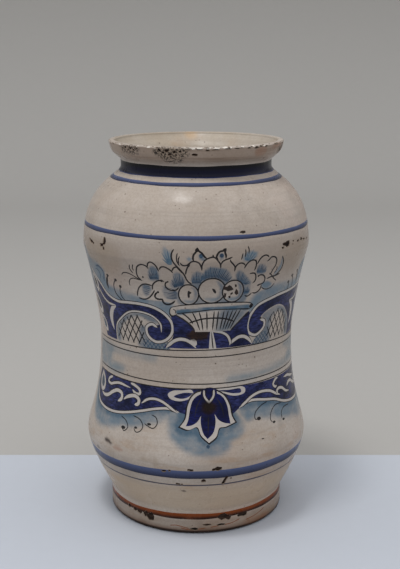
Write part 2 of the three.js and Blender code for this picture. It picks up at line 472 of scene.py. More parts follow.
def paint_panels(p, left_under, right_under):
    """Pale panels under the lower lines of the two scrolls, with a wide and a fine lattice."""
    left_panel = [(-66.5, 136), (-66.5, 136), *left_under[6:1:-1], (-26, 153), (-32, 153.5), (-37.5, 149),
                  (-36, 143), (-28, 139.5), (-20, 141), (-20, 136), (-20, 136)]
    right_panel = [(42, 136), (42, 136), (46, 142), (53, 146), (54.5, 152), (50, 156), *right_under[1:3],
                   *right_under[4:], (86.5, 136)]
    for panel in (left_panel, right_panel):
        p.patch("bare", panel)
    for shadow in ([(-66, 136), (-66, 146), (-60, 152.5), (-50, 159), (-40, 160.3), (-31, 158), (-27, 153.5),
                    (-34, 154.5), (-41, 157), (-48, 155.5), (-56, 151), (-61.5, 145), (-62.5, 136)],
                   [(-45, 136), (-43.5, 143), (-42, 150), (-38, 151), (-37, 145), (-33, 141), (-20, 140.5),
                    (-19, 136)],
                   [(43, 136), (46, 142), (53, 146), (54.5, 152), (50, 156), (57, 160.5), (65, 161.5),
                    (75, 158), (83, 151), (86.5, 144), (86.5, 136), (81, 137), (80, 147), (74, 154),
                    (67, 157), (61, 153), (60, 145), (60, 136)]):
        p.shade("petal", shadow, 2.2)
    left_net = [(-64.5, 137), (-64, 146), (-57, 153), (-47, 157.8), (-41, 157.5), (-39.5, 151), (-39, 143),
                (-38, 137), (-38, 137), (-64.5, 137)]
    right_net = [(57, 138), (57, 149), (60, 156), (68, 159), (77, 154.5), (83, 147.5), (83.5, 138),
                 (83.5, 138), (57, 138)]
    for net in (left_net, right_net):
        draw_lattice(p, smooth(net, closed=True), spacing=5.4, slope=1.75, width=0.95, paint="ink")
    strips = ([(-40, 136), (-40, 140), (-35, 142), (-20, 141), (-19, 136)],
              [(44, 136), (46, 142), (53, 145), (57, 144), (58, 136)])
    for strip in strips:
        draw_lattice(p, smooth(strip, closed=True), spacing=3.2, slope=1.1, width=0.55, paint="teal")


def draw_lattice(p, frame_line, spacing, slope, width, paint):
    """Crossed diagonals that fill an outline."""
    low, high = frame_line.min(0), frame_line.max(0)
    rise = high[1] - low[1]
    run = rise / slope
    starts = np.arange(low[0] - run, high[0] + spacing, spacing)
    for x in starts:
        for foot, head in ((x, x + run), (x + run, x)):
            p.stroke(paint, [(foot, low[1]), (head, high[1])], width, within=frame_line)


def paint_scroll_end(p, side):
    """The outer end of the upper scroll: a white leaf in the cobalt, lobes, and curls over it."""
    p.patch("white", side([(-66, 162), (-71, 158.5), (-74.5, 152), (-73, 146), (-70, 142.5), (-70, 142.5),
                           (-70.3, 150), (-68, 156.5), (-64, 161)]))
    p.reserve(side([(-86, 171), (-80, 165), (-73, 161.8), (-64, 161.5)]), 1.5, 5, 5)
    p.almond(side([(-98.5, 166), (-98.5, 166), (-93, 163.5), (-88, 159.5), (-85.5, 154), (-87, 151.2),
                   (-91.5, 151.8), (-96, 155.5), (-98.5, 160.5)]), "navy")
    p.almond(side([(-93, 180), (-93, 180), (-88.5, 178.5), (-85, 173.5), (-87.5, 166.5), (-91, 169),
                   (-93.5, 174.5)]), "navy")
    p.almond(side([(-90, 151), (-90, 151), (-84.5, 148.5), (-81, 144.5), (-80.5, 139.7), (-84, 139.5),
                   (-87.5, 143)]), "teal")
    p.ink(side([(-97, 189), (-97.5, 184), (-95.5, 178)]), 1.4)
    p.stroke("teal", side([(-82, 186.5), (-76.5, 187.3), (-71.5, 184), (-73.5, 177)]), 1.3, 3, 3)
    p.stroke("teal", side([(-84, 184), (-80, 184.5), (-77, 181.5), (-78.5, 177.5)]), 1, 3, 3)
    for tick, width in (([(-67, 182.5), (-68.6, 179.5), (-69.6, 176), (-69, 172.5)], 2.2),
                        ([(-59, 180.5), (-60.6, 179), (-62, 176), (-61.5, 171.5), (-58, 168), (-54, 165.8)],
                         0.9),
                        ([(-55.3, 176.5), (-56.3, 173), (-55.5, 169.5), (-52.5, 166.5)], 0.8)):
        p.ink(side(tick), width)
        (x, z), = side(tick[:1])
        p.dot("ink", x, z, 2.6, 2.2)


def paint_leaves(p):
    """White and cobalt leaves between the bowl and the banner."""
    p.patch("cobalt", [(-17, 161), (-8, 158.5), (-4, 155), (-1, 150.5), (4, 149.5), (9, 150), (14, 149.5),
                       (20, 149), (23, 150), (28, 155), (33, 159.5), (38.5, 161), (38, 150), (40, 144),
                       (44, 137), (44, 137), (-24, 137), (-24, 137), (-17, 144), (-16, 152)])
    for arc in ([(-22, 137), (-19, 139.7), (-16, 142), (-12, 143.5), (-8, 143.3), (-4, 141.5), (0, 137.5)],
                [(24.5, 139), (28, 142), (32, 143.8), (36, 143.5), (40, 141), (43, 137.5)]):
        p.reserve(arc, 2.2, 4, 6)
    p.patch("white", [(-4, 143.5), (-0.5, 144), (0.5, 140), (-1.5, 138.8)])
    p.reserve([(7, 148), (9, 149.8), (14, 149), (19, 147.8), (23, 145), (25, 140), (24.5, 138.5)], 1.6, 2, 3)
    p.patch("white", [(10, 150), (10, 150), (9.2, 136.5), (9.2, 136.5), (14.8, 136.5), (14.8, 136.5),
                      (11.7, 150), (11.7, 150)])
    p.stroke("ink", [(10.9, 149), (11.5, 143), (12.3, 136.8)], 0.9, 6, 1)
    p.shade("soot", [(-7, 147), (-3, 149.8), (4, 150), (9, 149.4), (8.5, 144), (3, 142.6), (-2, 142.6),
                     (-6.5, 144.6)], 2)
    p.patch("brown", cornered([(-4.6, 147.6), (-2.8, 150.4), (-0.6, 149.4), (1, 151), (3.4, 150),
                               (5.2, 150.8), (7, 149.4), (8.8, 149.8), (8, 147), (7.2, 144.2), (5.4, 145.2),
                               (4, 143.2), (1.8, 144.6), (0.4, 142.6), (-1.6, 144.2), (-3.6, 143.4),
                               (-4, 145.6)]))


def paint_bowl(p):
    """A fluted bowl, cream on the lit side and light blue on the other."""
    left = [(-14.7, 161), (-10.1, 158.5), (-6.2, 155.8), (-2.2, 151.8), (-0.8, 149)]
    right = [(24.6, 149), (31.5, 155.5), (37.7, 161.3)]
    p.patch("bare", [*left, left[-1], right[0], *right, (36, 164), (10, 166), (-14, 164)])
    p.shade("petal", [(14, 149), *right, (34, 164), (17, 165)], 4.5)
    p.ink([(-10, 162.4), (-6.8, 160.2), (-3.7, 157.2), (-2.1, 154.6)], 0.95)
    flutes = [(-2.9, 0, 2.7), (1.9, 3.6, 4.8), (7.2, 7.5, 7.7), (12.4, 12, 11.5), (15.3, 14.9, 14.3),
              (19.3, 18.3, 16.9), (22.3, 20.9, 18.8), (25.5, 23.3, 20.6), (28.6, 25.6, 22.4),
              (31.5, 28, 24.2)]
    for top, middle, foot in flutes:
        p.stroke("ink", [(top, 163.6), (middle, 157.5), (foot, 150)], 0.95, 3, 3)
    p.ink([(-5, 155.3), (0, 157), (5, 158.2), (12, 158.6), (20, 157.8), (27, 155.3)], 1.1)
    p.ink([(-14.7, 160.9), *left[1:]], 1.1)
    p.ink(right[::-1], 1.1)

    rim = [(-17.8, 162), (-17, 165.4), (-13, 166.8), (-4, 168), (6, 168.7), (18, 168.8), (30, 168.2),
           (38, 167), (40.3, 165.2), (37.5, 163.3), (28, 163.9), (12, 164.5), (-2, 163.1), (-10, 162.5),
           (-13, 161.7), (-14.6, 160.8), (-16.6, 160.4)]
    p.patch("ink", resized(rim, 1.025, 1.24, (MIDDLE, 164.8)))
    p.patch("bare", rim)
    rim_shade = [(-13.5, 164), (-4, 165.3), (10, 166.7), (25, 166.5), (38, 165.6), (38, 163), (28, 163.4),
                 (12, 164), (-2, 162.6), (-13, 161.4)]
    p.shade("halo", rim_shade, 1.1)
    p.shade("petal", rim_shade, 1.1)
    p.ink([(-13, 161.8), (-2, 163.2), (12, 164.6), (28, 164), (37.5, 163.4)], 0.7)
    p.ink([(-15.8, 165), (-14, 163.6), (-14.2, 161.6)], 0.6)
    p.dot("navy", 39, 165, 2.4, 3)


def paint_fruit(p):
    """Round fruits heaped in the bowl, shaded on the right."""
    p.shade("petal", [(-12, 169), (-11, 179), (-4, 183), (0, 184), (10, 188), (20, 186), (32, 183),
                      (34, 169)], 1.5)
    fruits = ((-4.9, 175.4, 12.2, 13.2), (10.3, 178, 16.8, 16.4), (24.6, 177, 13.6, 14.4))
    right_shade = ((0.12, -0.46), (0.26, -0.2), (0.3, 0.1), (0.16, 0.42), (0.42, 0.28), (0.5, 0),
                   (0.42, -0.3))
    low_shade = ((-0.3, -0.32), (0.3, -0.32), (0, -0.5))
    for x, z, wide, tall in fruits:
        p.dot("ink", x, z, wide + 1.9, tall + 1.9)
        p.dot("bare", x, z, wide, tall)
        p.shade("petal", [(x + dx * wide, z + dz * tall) for dx, dz in right_shade], 1.8)
        p.shade("halo", [(x + dx * wide, z + dz * tall) for dx, dz in low_shade], 2)
    p.stroke("ink", [(-4.6, 178.3), (-4.9, 175.5), (-4.7, 173)], 1.5, 0.8, 1)
    p.patch("ink", [(-5.6, 176.2), (-4, 177.6), (-2.9, 176.8), (-4, 175.8), (-4.9, 174.8)])
    p.patch("ink", [(10.4, 179.6), (11.9, 179.1), (13.2, 176.8), (12.6, 176), (11, 177.6)])
    for spot in ([(18.2, 180.6), (20.3, 180.2), (21.4, 181.1), (22.6, 180.4), (24.1, 178.4), (22.8, 177.9),
                  (20.9, 177.6), (19.6, 178.4), (18.4, 178.7)],
                 [(25.4, 181.6), (26.6, 181.3), (26.6, 180), (25.7, 180)],
                 [(26.6, 178), (27.7, 176.9), (28.2, 175.1), (27, 174.4), (25.8, 175.8)],
                 [(22.7, 175.3), (24, 176.3), (24.4, 175.4), (23.3, 174.5)],
                 [(21.6, 173.6), (22.9, 173.9), (22.9, 172.5), (22, 172.2)],
                 [(18.6, 175.8), (19.9, 175.4), (19.6, 173.2), (18.5, 173)]):
        p.patch("brown", cornered(resized(spot, 1.25)))


def paint_flowers(p):
    """Loose flowers in outline over feathered blue, round the fruit."""
    p.patch("bare", [(-40, 192), (-35, 195), (-27, 197), (-20, 194.5), (-11, 195), (-6, 197), (0, 198.5),
                     (10, 201), (20, 200), (28, 196.5), (37, 197.5), (45, 200), (53, 198), (55, 192),
                     (56, 184), (57, 178.5), (50, 176), (40, 173.5), (30, 170), (-12, 169), (-24, 170),
                     (-37, 170.5), (-41, 174), (-39, 184)])
    shade_flowers(p)
    feather_flowers(p)
    outline_flowers(p)


def shade_flowers(p):
    """Soft blue in the hollows of the petals."""
    shaded_petals = (
        [(-29.6, 193), (-27.5, 194.6), (-25, 193.5), (-23.8, 191), (-23.4, 187.5), (-24, 184.8), (-27, 184),
         (-30.3, 184.3), (-31.4, 187), (-30.8, 190.5)],
        [(-14.5, 189.8), (-14.3, 187), (-16.3, 184), (-16.8, 181), (-15, 179), (-12, 179), (-8, 181),
         (-6.8, 184.5), (-8, 188), (-11, 190.8)],
        [(-21, 181), (-18.6, 180.6), (-17, 178.4), (-13, 178), (-11.2, 176), (-11.4, 173), (-14, 171.4),
         (-19, 171.8), (-21.5, 174), (-22, 178)],
        [(-36, 180.8), (-31, 180.4), (-29.3, 178), (-31, 175), (-34, 172.5), (-36, 174), (-36.5, 178)],
        [(-3.3, 186), (-2, 190.3), (1, 191.8), (3.5, 190.5), (4, 186), (2, 182.7), (-1, 182.6), (-3, 184)],
        [(4, 190), (5.5, 192.3), (7.5, 194.2), (10, 194.8), (12.5, 194.5), (15, 193.8), (18, 193.3),
         (20.5, 191.3), (22.6, 188), (22.6, 185), (20, 183), (17, 184.8), (10, 187), (3.5, 184.5),
         (2.6, 187.5)],
        [(25.6, 190), (27.5, 191.6), (30, 190.3), (32, 188), (34, 185.5), (37, 182), (36.5, 179.6),
         (33, 179.6), (30, 181), (27, 184), (25.4, 186.5)],
        [(39.8, 191.5), (41.5, 194.4), (44, 194), (47, 192.3), (47.8, 189.5), (46.5, 187.3), (43, 187),
         (40.3, 188)],
        [(31.2, 179.3), (33, 180), (36, 179.4), (37.2, 176.5), (35.5, 173.2), (32.6, 173), (31.2, 175.5)],
    )
    for petal in shaded_petals:
        p.shade("petal", petal, 1.6)
    p.shade("halo", [(60, 196.5), (61.6, 192), (60.5, 188), (57, 185.5), (54.5, 184.6), (57.5, 188.5),
                     (59.6, 192)], 1)
    p.shade("halo", [(45.5, 180.3), (48.5, 181.3), (52, 180.8), (55, 178.5), (53, 176.3), (48, 176),
                     (45.7, 177.8)], 1.6)
    p.shade("halo", [(-20.6, 206), (-19.3, 207.8), (-17, 205), (-15.6, 206), (-14.9, 202), (-15, 197),
                     (-17, 196.5), (-19.3, 200)], 2)
    p.shade("halo", [(29, 198.5), (30, 202), (34, 204), (37, 203.5), (39.5, 202.5), (38, 199), (33, 197)], 2)
    p.shade("halo", [(-6, 200), (-4.5, 201.6), (-2.6, 200.6), (-3.5, 198.6)], 1.6)


def feather_flowers(p):
    """Fine strokes over the shaded petals: root line, tip line, how many, and where unusual, how wide."""
    for feather in (
        ([(-29.5, 184.8), (-24.4, 184.8)], [(-31, 189.5), (-29.5, 193), (-27, 194.8), (-24, 192)], 8),
        ([(-13.5, 180), (-8.5, 181.5)], [(-16.2, 184.5), (-14.5, 189.5), (-11, 191), (-7.4, 187)], 10),
        ([(-12.3, 178), (-12.3, 172.5)], [(-20.5, 180.5), (-22, 176.5), (-20.5, 172.5)], 7, 0.6),
        ([(-30.5, 179.5), (-32, 174)], [(-36.5, 180), (-36.5, 175)], 5, 0.5),
        ([(-2, 183), (2.5, 183.2)], [(-3, 188.5), (0, 192), (3.8, 189)], 7),
        ([(3.5, 185), (10, 187), (19.5, 183.8)],
         [(3.4, 190), (7, 195), (10, 195.4), (15.5, 194.4), (19.5, 193), (23, 187.5)], 20, 0.85),
        ([(27, 182.5), (32.5, 181)], [(25.8, 190.5), (28.5, 191.6), (33, 187.5), (36.8, 182)], 10),
        ([(40.6, 187.8), (46.4, 187.8)], [(40.3, 193), (42.5, 195), (48, 191)], 8),
        ([(33, 174), (35.4, 174.4)], [(31.5, 178.5), (33.5, 180), (36.8, 178.5)], 6),
        ([(-16.4, 196), (-15.2, 196)],
         [(-22, 201), (-20.3, 207.8), (-18.2, 206.8), (-16.2, 207.4), (-14.8, 203)], 6, 1.0, "sky"),
        ([(31, 198), (33.5, 196.6)], [(30.5, 202.5), (35, 206), (38.6, 204.3), (41, 202)], 6, 0.8, "sky"),
    ):
        p.feather(*feather)
    p.shade("petal", [(1.6, 203.4), (3.4, 204), (5.2, 201.4), (6.2, 199.6), (3.6, 199), (1.6, 201)], 1.2)
    p.shade("petal", [(14.2, 203.6), (16.6, 203.8), (17, 201), (15.8, 199), (14, 201)], 1.2)
    p.dot("teal", 3, 202.2, 2.4, 3)
    p.dot("teal", 15.6, 202.2, 2.6, 2.8)


def outline_flowers(p):
    """Petals, buds, sprigs and stems in ink."""
    outlines = (
        [(-30.3, 192), (-31.5, 193.8), (-35, 194.8), (-38, 193.2), (-39.3, 189.5), (-38.8, 186), (-37, 184),
         (-35.8, 183.3)],
        [(-31, 193), (-30.3, 196), (-28.5, 197.1), (-26.3, 196), (-24.7, 194), (-23.5, 190.8)],
        [(-23.2, 192), (-22, 194), (-19.8, 194.4), (-17.5, 193.3), (-15.5, 191.8), (-14.5, 190.3)],
        [(-15, 191.5), (-13.8, 194), (-12, 194.6), (-10.5, 193), (-8, 190)],
        [(-13.5, 206.5), (-14.8, 204), (-14.9, 200.5), (-13.3, 197), (-10.5, 193.5), (-7.5, 189.5), (-6, 186),
         (-4.5, 184), (-2.5, 182.8)],
        [(-6.6, 189.3), (-6, 192.5), (-4.8, 195.5), (-3.4, 198), (-1.5, 198.7), (1.5, 197.8), (3, 195.3),
         (3.7, 192.5)],
        [(-9.7, 197.8), (-8.7, 196.2), (-6.8, 195.7), (-5, 196.3), (-3.7, 197.7)],
        [(3.5, 192.3), (3.6, 196), (5, 199), (7, 200.4), (10.2, 201.3), (12, 200.5), (13.3, 198.8),
         (14.8, 196.5), (15.2, 193.5)],
        [(15.3, 196), (16, 198), (18, 199.3), (20, 199.9), (22.5, 200.9)],
        [(20.8, 199.5), (21.3, 198), (23, 196), (24.3, 194), (24.3, 190.7)],
        [(24.3, 192.5), (25, 194.5), (26.5, 196), (28.3, 196.4), (30, 195.8), (31.3, 194.3)],
        [(30.6, 192.3), (31.8, 194.8), (33.5, 196.8), (36, 197.8), (38.3, 197), (39, 194.5), (38.6, 191.5),
         (38, 190)],
        [(34.8, 188.2), (37, 188.5), (39, 188), (40, 185.5), (39.8, 183), (38, 181.2)],
        [(39.7, 194.5), (41, 197.5), (43, 199.3), (45.5, 200), (47.5, 199.2), (48.3, 198)],
        [(47, 195.5), (48.5, 196.5), (50, 198), (52.5, 198), (54.5, 196.7), (55.4, 194.5), (55, 191.5),
         (53.3, 189), (52.5, 187), (51, 185.5)],
        [(59.8, 197.6), (61.5, 195), (62.4, 192), (61.3, 188), (57.5, 184.8), (54, 183.2)],
        [(61, 185), (57, 184.2), (53.5, 184), (49, 183)],
        [(41.2, 185.9), (44, 186.5), (46.5, 185.5), (47.7, 183), (46.8, 180.5), (44, 179.7), (41.8, 179.3)],
        [(38.5, 174.5), (41, 174), (43.5, 175), (45.2, 177.3), (45.3, 179.5)],
        [(33, 173.3), (35, 172.4), (37, 173.3), (38.5, 174.5)],
        [(-41.3, 171.6), (-40.5, 175), (-38.8, 178.3), (-36, 180.6), (-33, 181.2), (-30.5, 180.7),
         (-29, 180.3)],
        [(-40.5, 170.7), (-36, 170.2), (-32.5, 171.5), (-29.5, 174.5), (-27.5, 177.5)],
        [(-29, 177.5), (-28.8, 180.5), (-27.3, 182.7), (-25, 184.2), (-22.5, 184.6), (-20.3, 184)],
        [(-17.6, 184.1), (-19.3, 183.5), (-20, 181.5), (-19, 179.5), (-16.5, 178.2), (-13, 178.5),
         (-11, 180.5)],
    )
    for outline in outlines:
        p.ink(outline)
    for faint in ([(-52, 185.3), (-50.5, 187), (-47.5, 187.5), (-44.5, 187), (-41, 185.5), (-38, 184),
                   (-35.5, 183.3)],
                  [(-46, 178.3), (-46.3, 181), (-45, 183.3), (-42.5, 184.3), (-40, 184), (-36.5, 183.6)],
                  [(45.7, 177.5), (48, 176), (51, 175.4), (54.5, 176.2), (57.3, 178.8)],
                  [(56.5, 191), (57, 188.5), (55, 186)]):
        p.ink(faint, 0.72)
    for bud in ([(-1.3, 198.5), (-1.9, 200.5), (-1.5, 203), (0, 205), (0.8, 207.3), (0.8, 207.3),
                 (1.6, 205.5), (3.5, 204), (5.3, 201.5), (6.8, 200.3)],
                [(13.6, 199.3), (12.4, 201), (13.2, 203.4), (14.7, 204.9), (16.6, 205.2), (18.2, 206.4),
                 (18.2, 206.4), (17.7, 204), (18.3, 202), (18.1, 200)]):
        p.ink(bud, 1.25)
    p.stroke("ink", [(0.3, 204.6), (0.8, 207.6)], 2.3, 0.8, 1.2)
    p.stroke("ink", [(16.4, 204.8), (18.6, 206.7)], 2.1, 0.8, 1.2)
    p.stroke("ink", [(10.2, 200.8), (10.3, 203)], 1.6, 0.6, 2)
    p.stroke("ink", [(-4.8, 194.6), (-4.4, 197.6)], 1.7, 1, 1)
    for whisker in ([(-11.3, 204), (-11.8, 201.5), (-11.6, 198.5), (-10, 195.4)],
                    [(-9.9, 202), (-10.7, 200), (-10.4, 196.5)],
                    [(-43.8, 193.9), (-44.2, 191), (-42, 187.7)],
                    [(-41, 194.4), (-41.9, 192), (-41.4, 189.5)],
                    [(50.5, 187), (53, 185), (55.5, 182.5), (58.7, 180.2)],
                    [(28, 198.5), (28.8, 201), (29.2, 203)], [(30.5, 200), (31.1, 202.5), (31, 205.5)],
                    [(33.1, 202), (33.4, 204.8), (32.7, 207.4)]):
        p.ink(whisker, 0.8)
    p.ink([(-25.2, 176.4), (-27, 175), (-27.8, 173), (-27, 171.7), (-24.5, 171.2), (-22.8, 171.3),
           (-22.3, 169.6), (-21, 168.3), (-18.5, 168), (-16, 169), (-13.8, 171)], 1.3)
    for x, z, size in ((-35, 186, 1.4), (-22.3, 184.5, 1.8), (-18.2, 184, 1.3), (42, 185.9, 1.5),
                       (42.8, 179.3, 1.5), (-25.3, 176.2, 1.6)):
        p.dot("ink", x, z, size)


def paint_banner(p):
    """An empty scroll across the jar, with two lines along each edge and a wash at both ends."""
    p.patch("bare", [(-97, 109.5), (-97, 109.5), (-40, 109.3), (20, 109.4), (70, 110), (116, 109.5),
                     (116, 109.5), (117, 134), (117, 134), (60, 136), (10, 135.6), (-40, 134.6), (-98, 133.6),
                     (-98, 133.6)])
    p.shade("wash", [(-97, 130), (-97, 114), (-84, 114), (-76, 117), (-74, 124), (-66, 126.4), (-46, 126.8),
                     (-30, 127.4), (-29, 129.8), (-60, 130)], 4)
    p.shade("wash", [(-86, 113.6), (-60, 113.6), (-58, 117.5), (-66, 119.5), (-78, 119)], 4)
    p.shade("wash", [(22, 113.2), (60, 114), (90, 115), (115, 114.5), (116, 122), (104, 121), (92, 125),
                     (84, 119.5), (70, 118.6), (50, 117.5), (38, 117.6), (24, 117)], 4)
    p.shade("wash", [(80, 130), (92, 124), (112, 123), (114, 130)], 4)
    for line in ([(-98, 133.8), (-40, 134.9), (10, 136), (60, 136.4), (117, 134.3)],
                 [(-97, 130.3), (-40, 130.5), (10, 131), (60, 131.6), (116, 131)],
                 [(-97, 113.2), (-40, 112.7), (20, 112.4), (70, 113.2), (116, 113.4)],
                 [(-97, 109.4), (-40, 109.1), (20, 109.2), (70, 109.8), (116, 109.4)]):
        p.ink(line, 0.8)
    p.ink([(-98, 133.8), (-99.5, 128), (-98.5, 116), (-97, 109.4)], 1)
    p.ink([(117, 134.3), (118.5, 128), (117.5, 116), (116, 109.4)], 1)


def paint_lower_scrolls(p):
    """A cobalt garland under the banner, with white leaves reserved in it."""
    border_left = [(-99, 96), (-96, 90), (-90, 86.3), (-80, 84.7), (-70, 84.7), (-60, 86), (-50, 88.3),
                   (-40, 91), (-30, 93.7), (-20, 95), (-12, 93)]
    border_right = [(31, 94), (35, 96.5), (40, 97.8), (45, 97.8), (55, 96), (65, 94), (75, 90.3), (85, 88),
                    (95, 87), (105, 87), (113, 90), (118, 97)]
    p.patch("cobalt", border_left + [(-4, 91), (9, 89), (24, 90)] + border_right
            + [(118, 104), (115, 109), (115, 109), (-96, 109), (-96, 109), (-99, 104)])
    for border in (border_left, border_right):
        p.reserve(border, 1.6, 5, 4)

    for side in SIDES:
        p.almond(side([(-91.5, 108.6), (-91.5, 108.6), (-86.5, 105), (-84, 100), (-85.5, 95.5), (-90, 94),
                       (-94, 96.5), (-95.3, 102)]), "teal")
        p.ink(side([(-91, 107), (-89.5, 102), (-89, 96)]), 0.7)
    leaves = (
        ([(-73, 108.3), (-78, 106), (-79.3, 103.5), (-75, 102.6), (-71, 104), (-64, 105.6), (-52, 104.7)],
         1.7, 2, 9),
        ([(-52, 108), (-48, 107.3), (-43.5, 105), (-43, 102.3), (-46.5, 101.8), (-50, 103.8)], 1.9, 2, 3),
        ([(-89, 93.5), (-84, 92.6), (-78, 93.8), (-71, 98), (-65, 100.2), (-60.5, 99), (-60.3, 95.5),
          (-64, 92.8)],
         2.4, 9, 3),
        ([(-58, 95.5), (-54, 98.2), (-47, 100), (-43.5, 98), (-44, 95), (-47, 94)], 2.4, 6, 2),
        ([(-41, 96), (-36, 99.5), (-30, 100.5), (-24, 99), (-16, 94.2), (-13, 92.5)], 1.6, 4, 5),
        ([(32, 94.5), (36, 97), (42, 100.5), (50, 102.3), (60, 101), (67, 97.5), (72, 95.5)], 1.7, 3, 5),
        ([(71, 108), (67.5, 107.5), (64.5, 104.5), (67, 102.3), (69, 102.8)], 1.7, 3, 2),
        ([(69, 96.5), (68.5, 99), (71, 100.3), (76, 99.3), (81, 96), (87, 94.5)], 1.9, 2, 8),
        ([(84, 98.5), (88, 100.5), (93, 100.3), (98, 98), (105, 95.5), (112, 93.5)], 2, 3, 8),
        ([(80, 106), (88, 105.5), (95, 103.5), (102, 102.5)], 1.7, 5, 6),
    )
    for points, width, start, end in leaves:
        p.reserve(points, width, start, end)
    p.dot("ink", -50.3, 105, 1.6)
    p.dot("ink", 68.5, 104.6, 1.4)
    p.patch("white", [(-3, 108.3), (-10, 108), (-17, 107.3), (-20.5, 104.8), (-19, 102), (-13, 100.5),
                      (-7, 101.5), (-2, 104.5)])
    p.patch("cobalt", [(-16, 103.5), (-11, 102.2), (-6, 103.3), (-2, 106.3), (-2, 106.3), (-9, 106.3)])
    p.patch("white", [(13, 108.5), (24, 108.9), (33, 109), (36.8, 107.3), (36.5, 104.3), (31, 102.9),
                      (25, 103.6), (19, 106)])
    p.patch("cobalt", [(16, 107.6), (24, 107.5), (33, 107.3), (33.5, 104.9), (27, 104.8), (21, 106.3)])


def paint_pendant(p):
    """The three-lobed flower that hangs in the middle."""
    outer = [(8, 108.8), (4, 107.5), (0, 106.3), (-3.5, 103), (-6, 97), (-7.3, 89), (-11, 83.5), (-11, 83.5),
             (-5, 81.7), (0.8, 83.5), (3.5, 78), (8.5, 73.2), (8.5, 73.2), (13.5, 77), (16, 82.5), (20, 82.9),
             (27.5, 85.3), (27.5, 85.3), (25.2, 90), (24, 97), (20.5, 103.5), (16, 106.7), (11, 108.8)]
    p.patch("ink", resized(outer, 1.07, 1.065, (MIDDLE - 1, 92)))
    p.patch("white", outer)
    left = [(5.3, 105.5), (1, 104.5), (-2.5, 101), (-4.3, 95), (-5.5, 88), (-7, 84), (-7, 84), (-3, 84.7),
            (0.8, 87), (3.7, 91.5), (3.7, 91.5), (7, 95)]
    right = [(12, 105.5), (16, 105.3), (20, 102), (22.5, 96), (23.2, 90), (24, 84.6), (24, 84.6), (19, 85.8),
             (15.3, 88.2), (13.2, 91.5), (13.2, 91.5), (10, 95)]
    middle = [(8, 100), (3.7, 92), (3.2, 86), (5, 79), (7.6, 75.7), (7.6, 75.7), (11.5, 79.5), (13.4, 86),
              (12.8, 92)]
    for lobe in (left, right, middle, [(3, 104), (14, 104), (13, 92), (4, 92)],
                 [(4.5, 108.6), (3.5, 104), (14.5, 104), (14.2, 108.6)]):
        p.patch("indigo", lobe)
    p.reserve([(5.6, 108.4), (6, 104), (9.2, 99.6), (9.2, 99.6), (12.4, 104), (12.8, 108.4)], 1.3, 1, 1)
    p.patch("indigo", [(8, 107.5), (9.2, 108), (10.4, 107.5), (10.6, 104.5), (9.2, 102.6), (7.8, 104.5)])
    p.shade("soot", [(4, 99), (9, 100.6), (14.5, 98.4), (14.3, 94), (9, 91.4), (4, 94)], 2.7)
    p.patch("brown", cornered([(6, 98.4), (9, 99.3), (12, 98.2), (12.6, 96), (11, 95.4), (10.4, 93.6),
                               (9, 94.6), (7.4, 93.6), (7, 95.4), (5.6, 96)]))
    for vein in ([(3.5, 103), (0.5, 97), (-1, 90)], [(14.6, 103), (18, 97), (19.5, 90)],
                 [(8.5, 91), (8.3, 84), (8, 79)]):
        p.stroke("ink", vein, 0.7, 4, 6)
    p.stroke("teal", [(7.6, 72), (8, 69.6)], 2.2, 0.6, 0.8)


def paint_hooks(p):
    """Thin hooked tendrils with a dot at the end, under the garland."""
    hooks = (
        [(-32, 89.5), (-28.5, 88), (-27.3, 84), (-30, 80.7), (-35, 82), (-37, 83)],
        [(-47, 86.5), (-41, 85), (-38, 81), (-39.5, 77.5), (-43, 76.2), (-45, 78.5)],
        [(-58, 84), (-52.5, 81.7), (-50.3, 78), (-53, 75), (-55, 76)],
        [(56, 94.3), (50, 93), (44, 89), (43.3, 85), (45, 84)],
        [(72, 89.8), (64, 90), (58.8, 86.5), (57, 81.5), (58.5, 79.5)],
        [(82, 86), (74, 86), (69.7, 83), (69.5, 79)],
    )
    for hook in hooks:
        p.ink(hook, 0.72)
    for x, z, wide, tall in ((-33.3, 83, 3.2, 1.7), (-43.5, 79, 2.6, 1.6), (-54.3, 77, 4, 2.2),
                             (46.5, 84.6, 3.6, 2.4), (60, 79.3, 3.2, 1.6), (71, 78.4, 3, 1.6)):
        p.dot("ink", x, z, wide, tall)


def paint_bands(p):
    """Lines of blue right round the jar, and the rust line over the foot."""
    p.band("navy", 249, 256.6, 0.12)
    p.band("blue", 244.2, 246.3, 0.1)
    p.band("blue", 211.9, 214.8, 0.15)
    p.band("blue", 47.6, 54, 0.15, 1)
    p.band("line", 41.3, 42.4, 0.08, 1)
    p.band("rust", 11.2, 15.3, 0.18, 0.6)


# Flakes lost from the glaze and stains: turn in degrees, height, width and height of the mark. Bright worn
# places on the rim's edge have no height of their own.

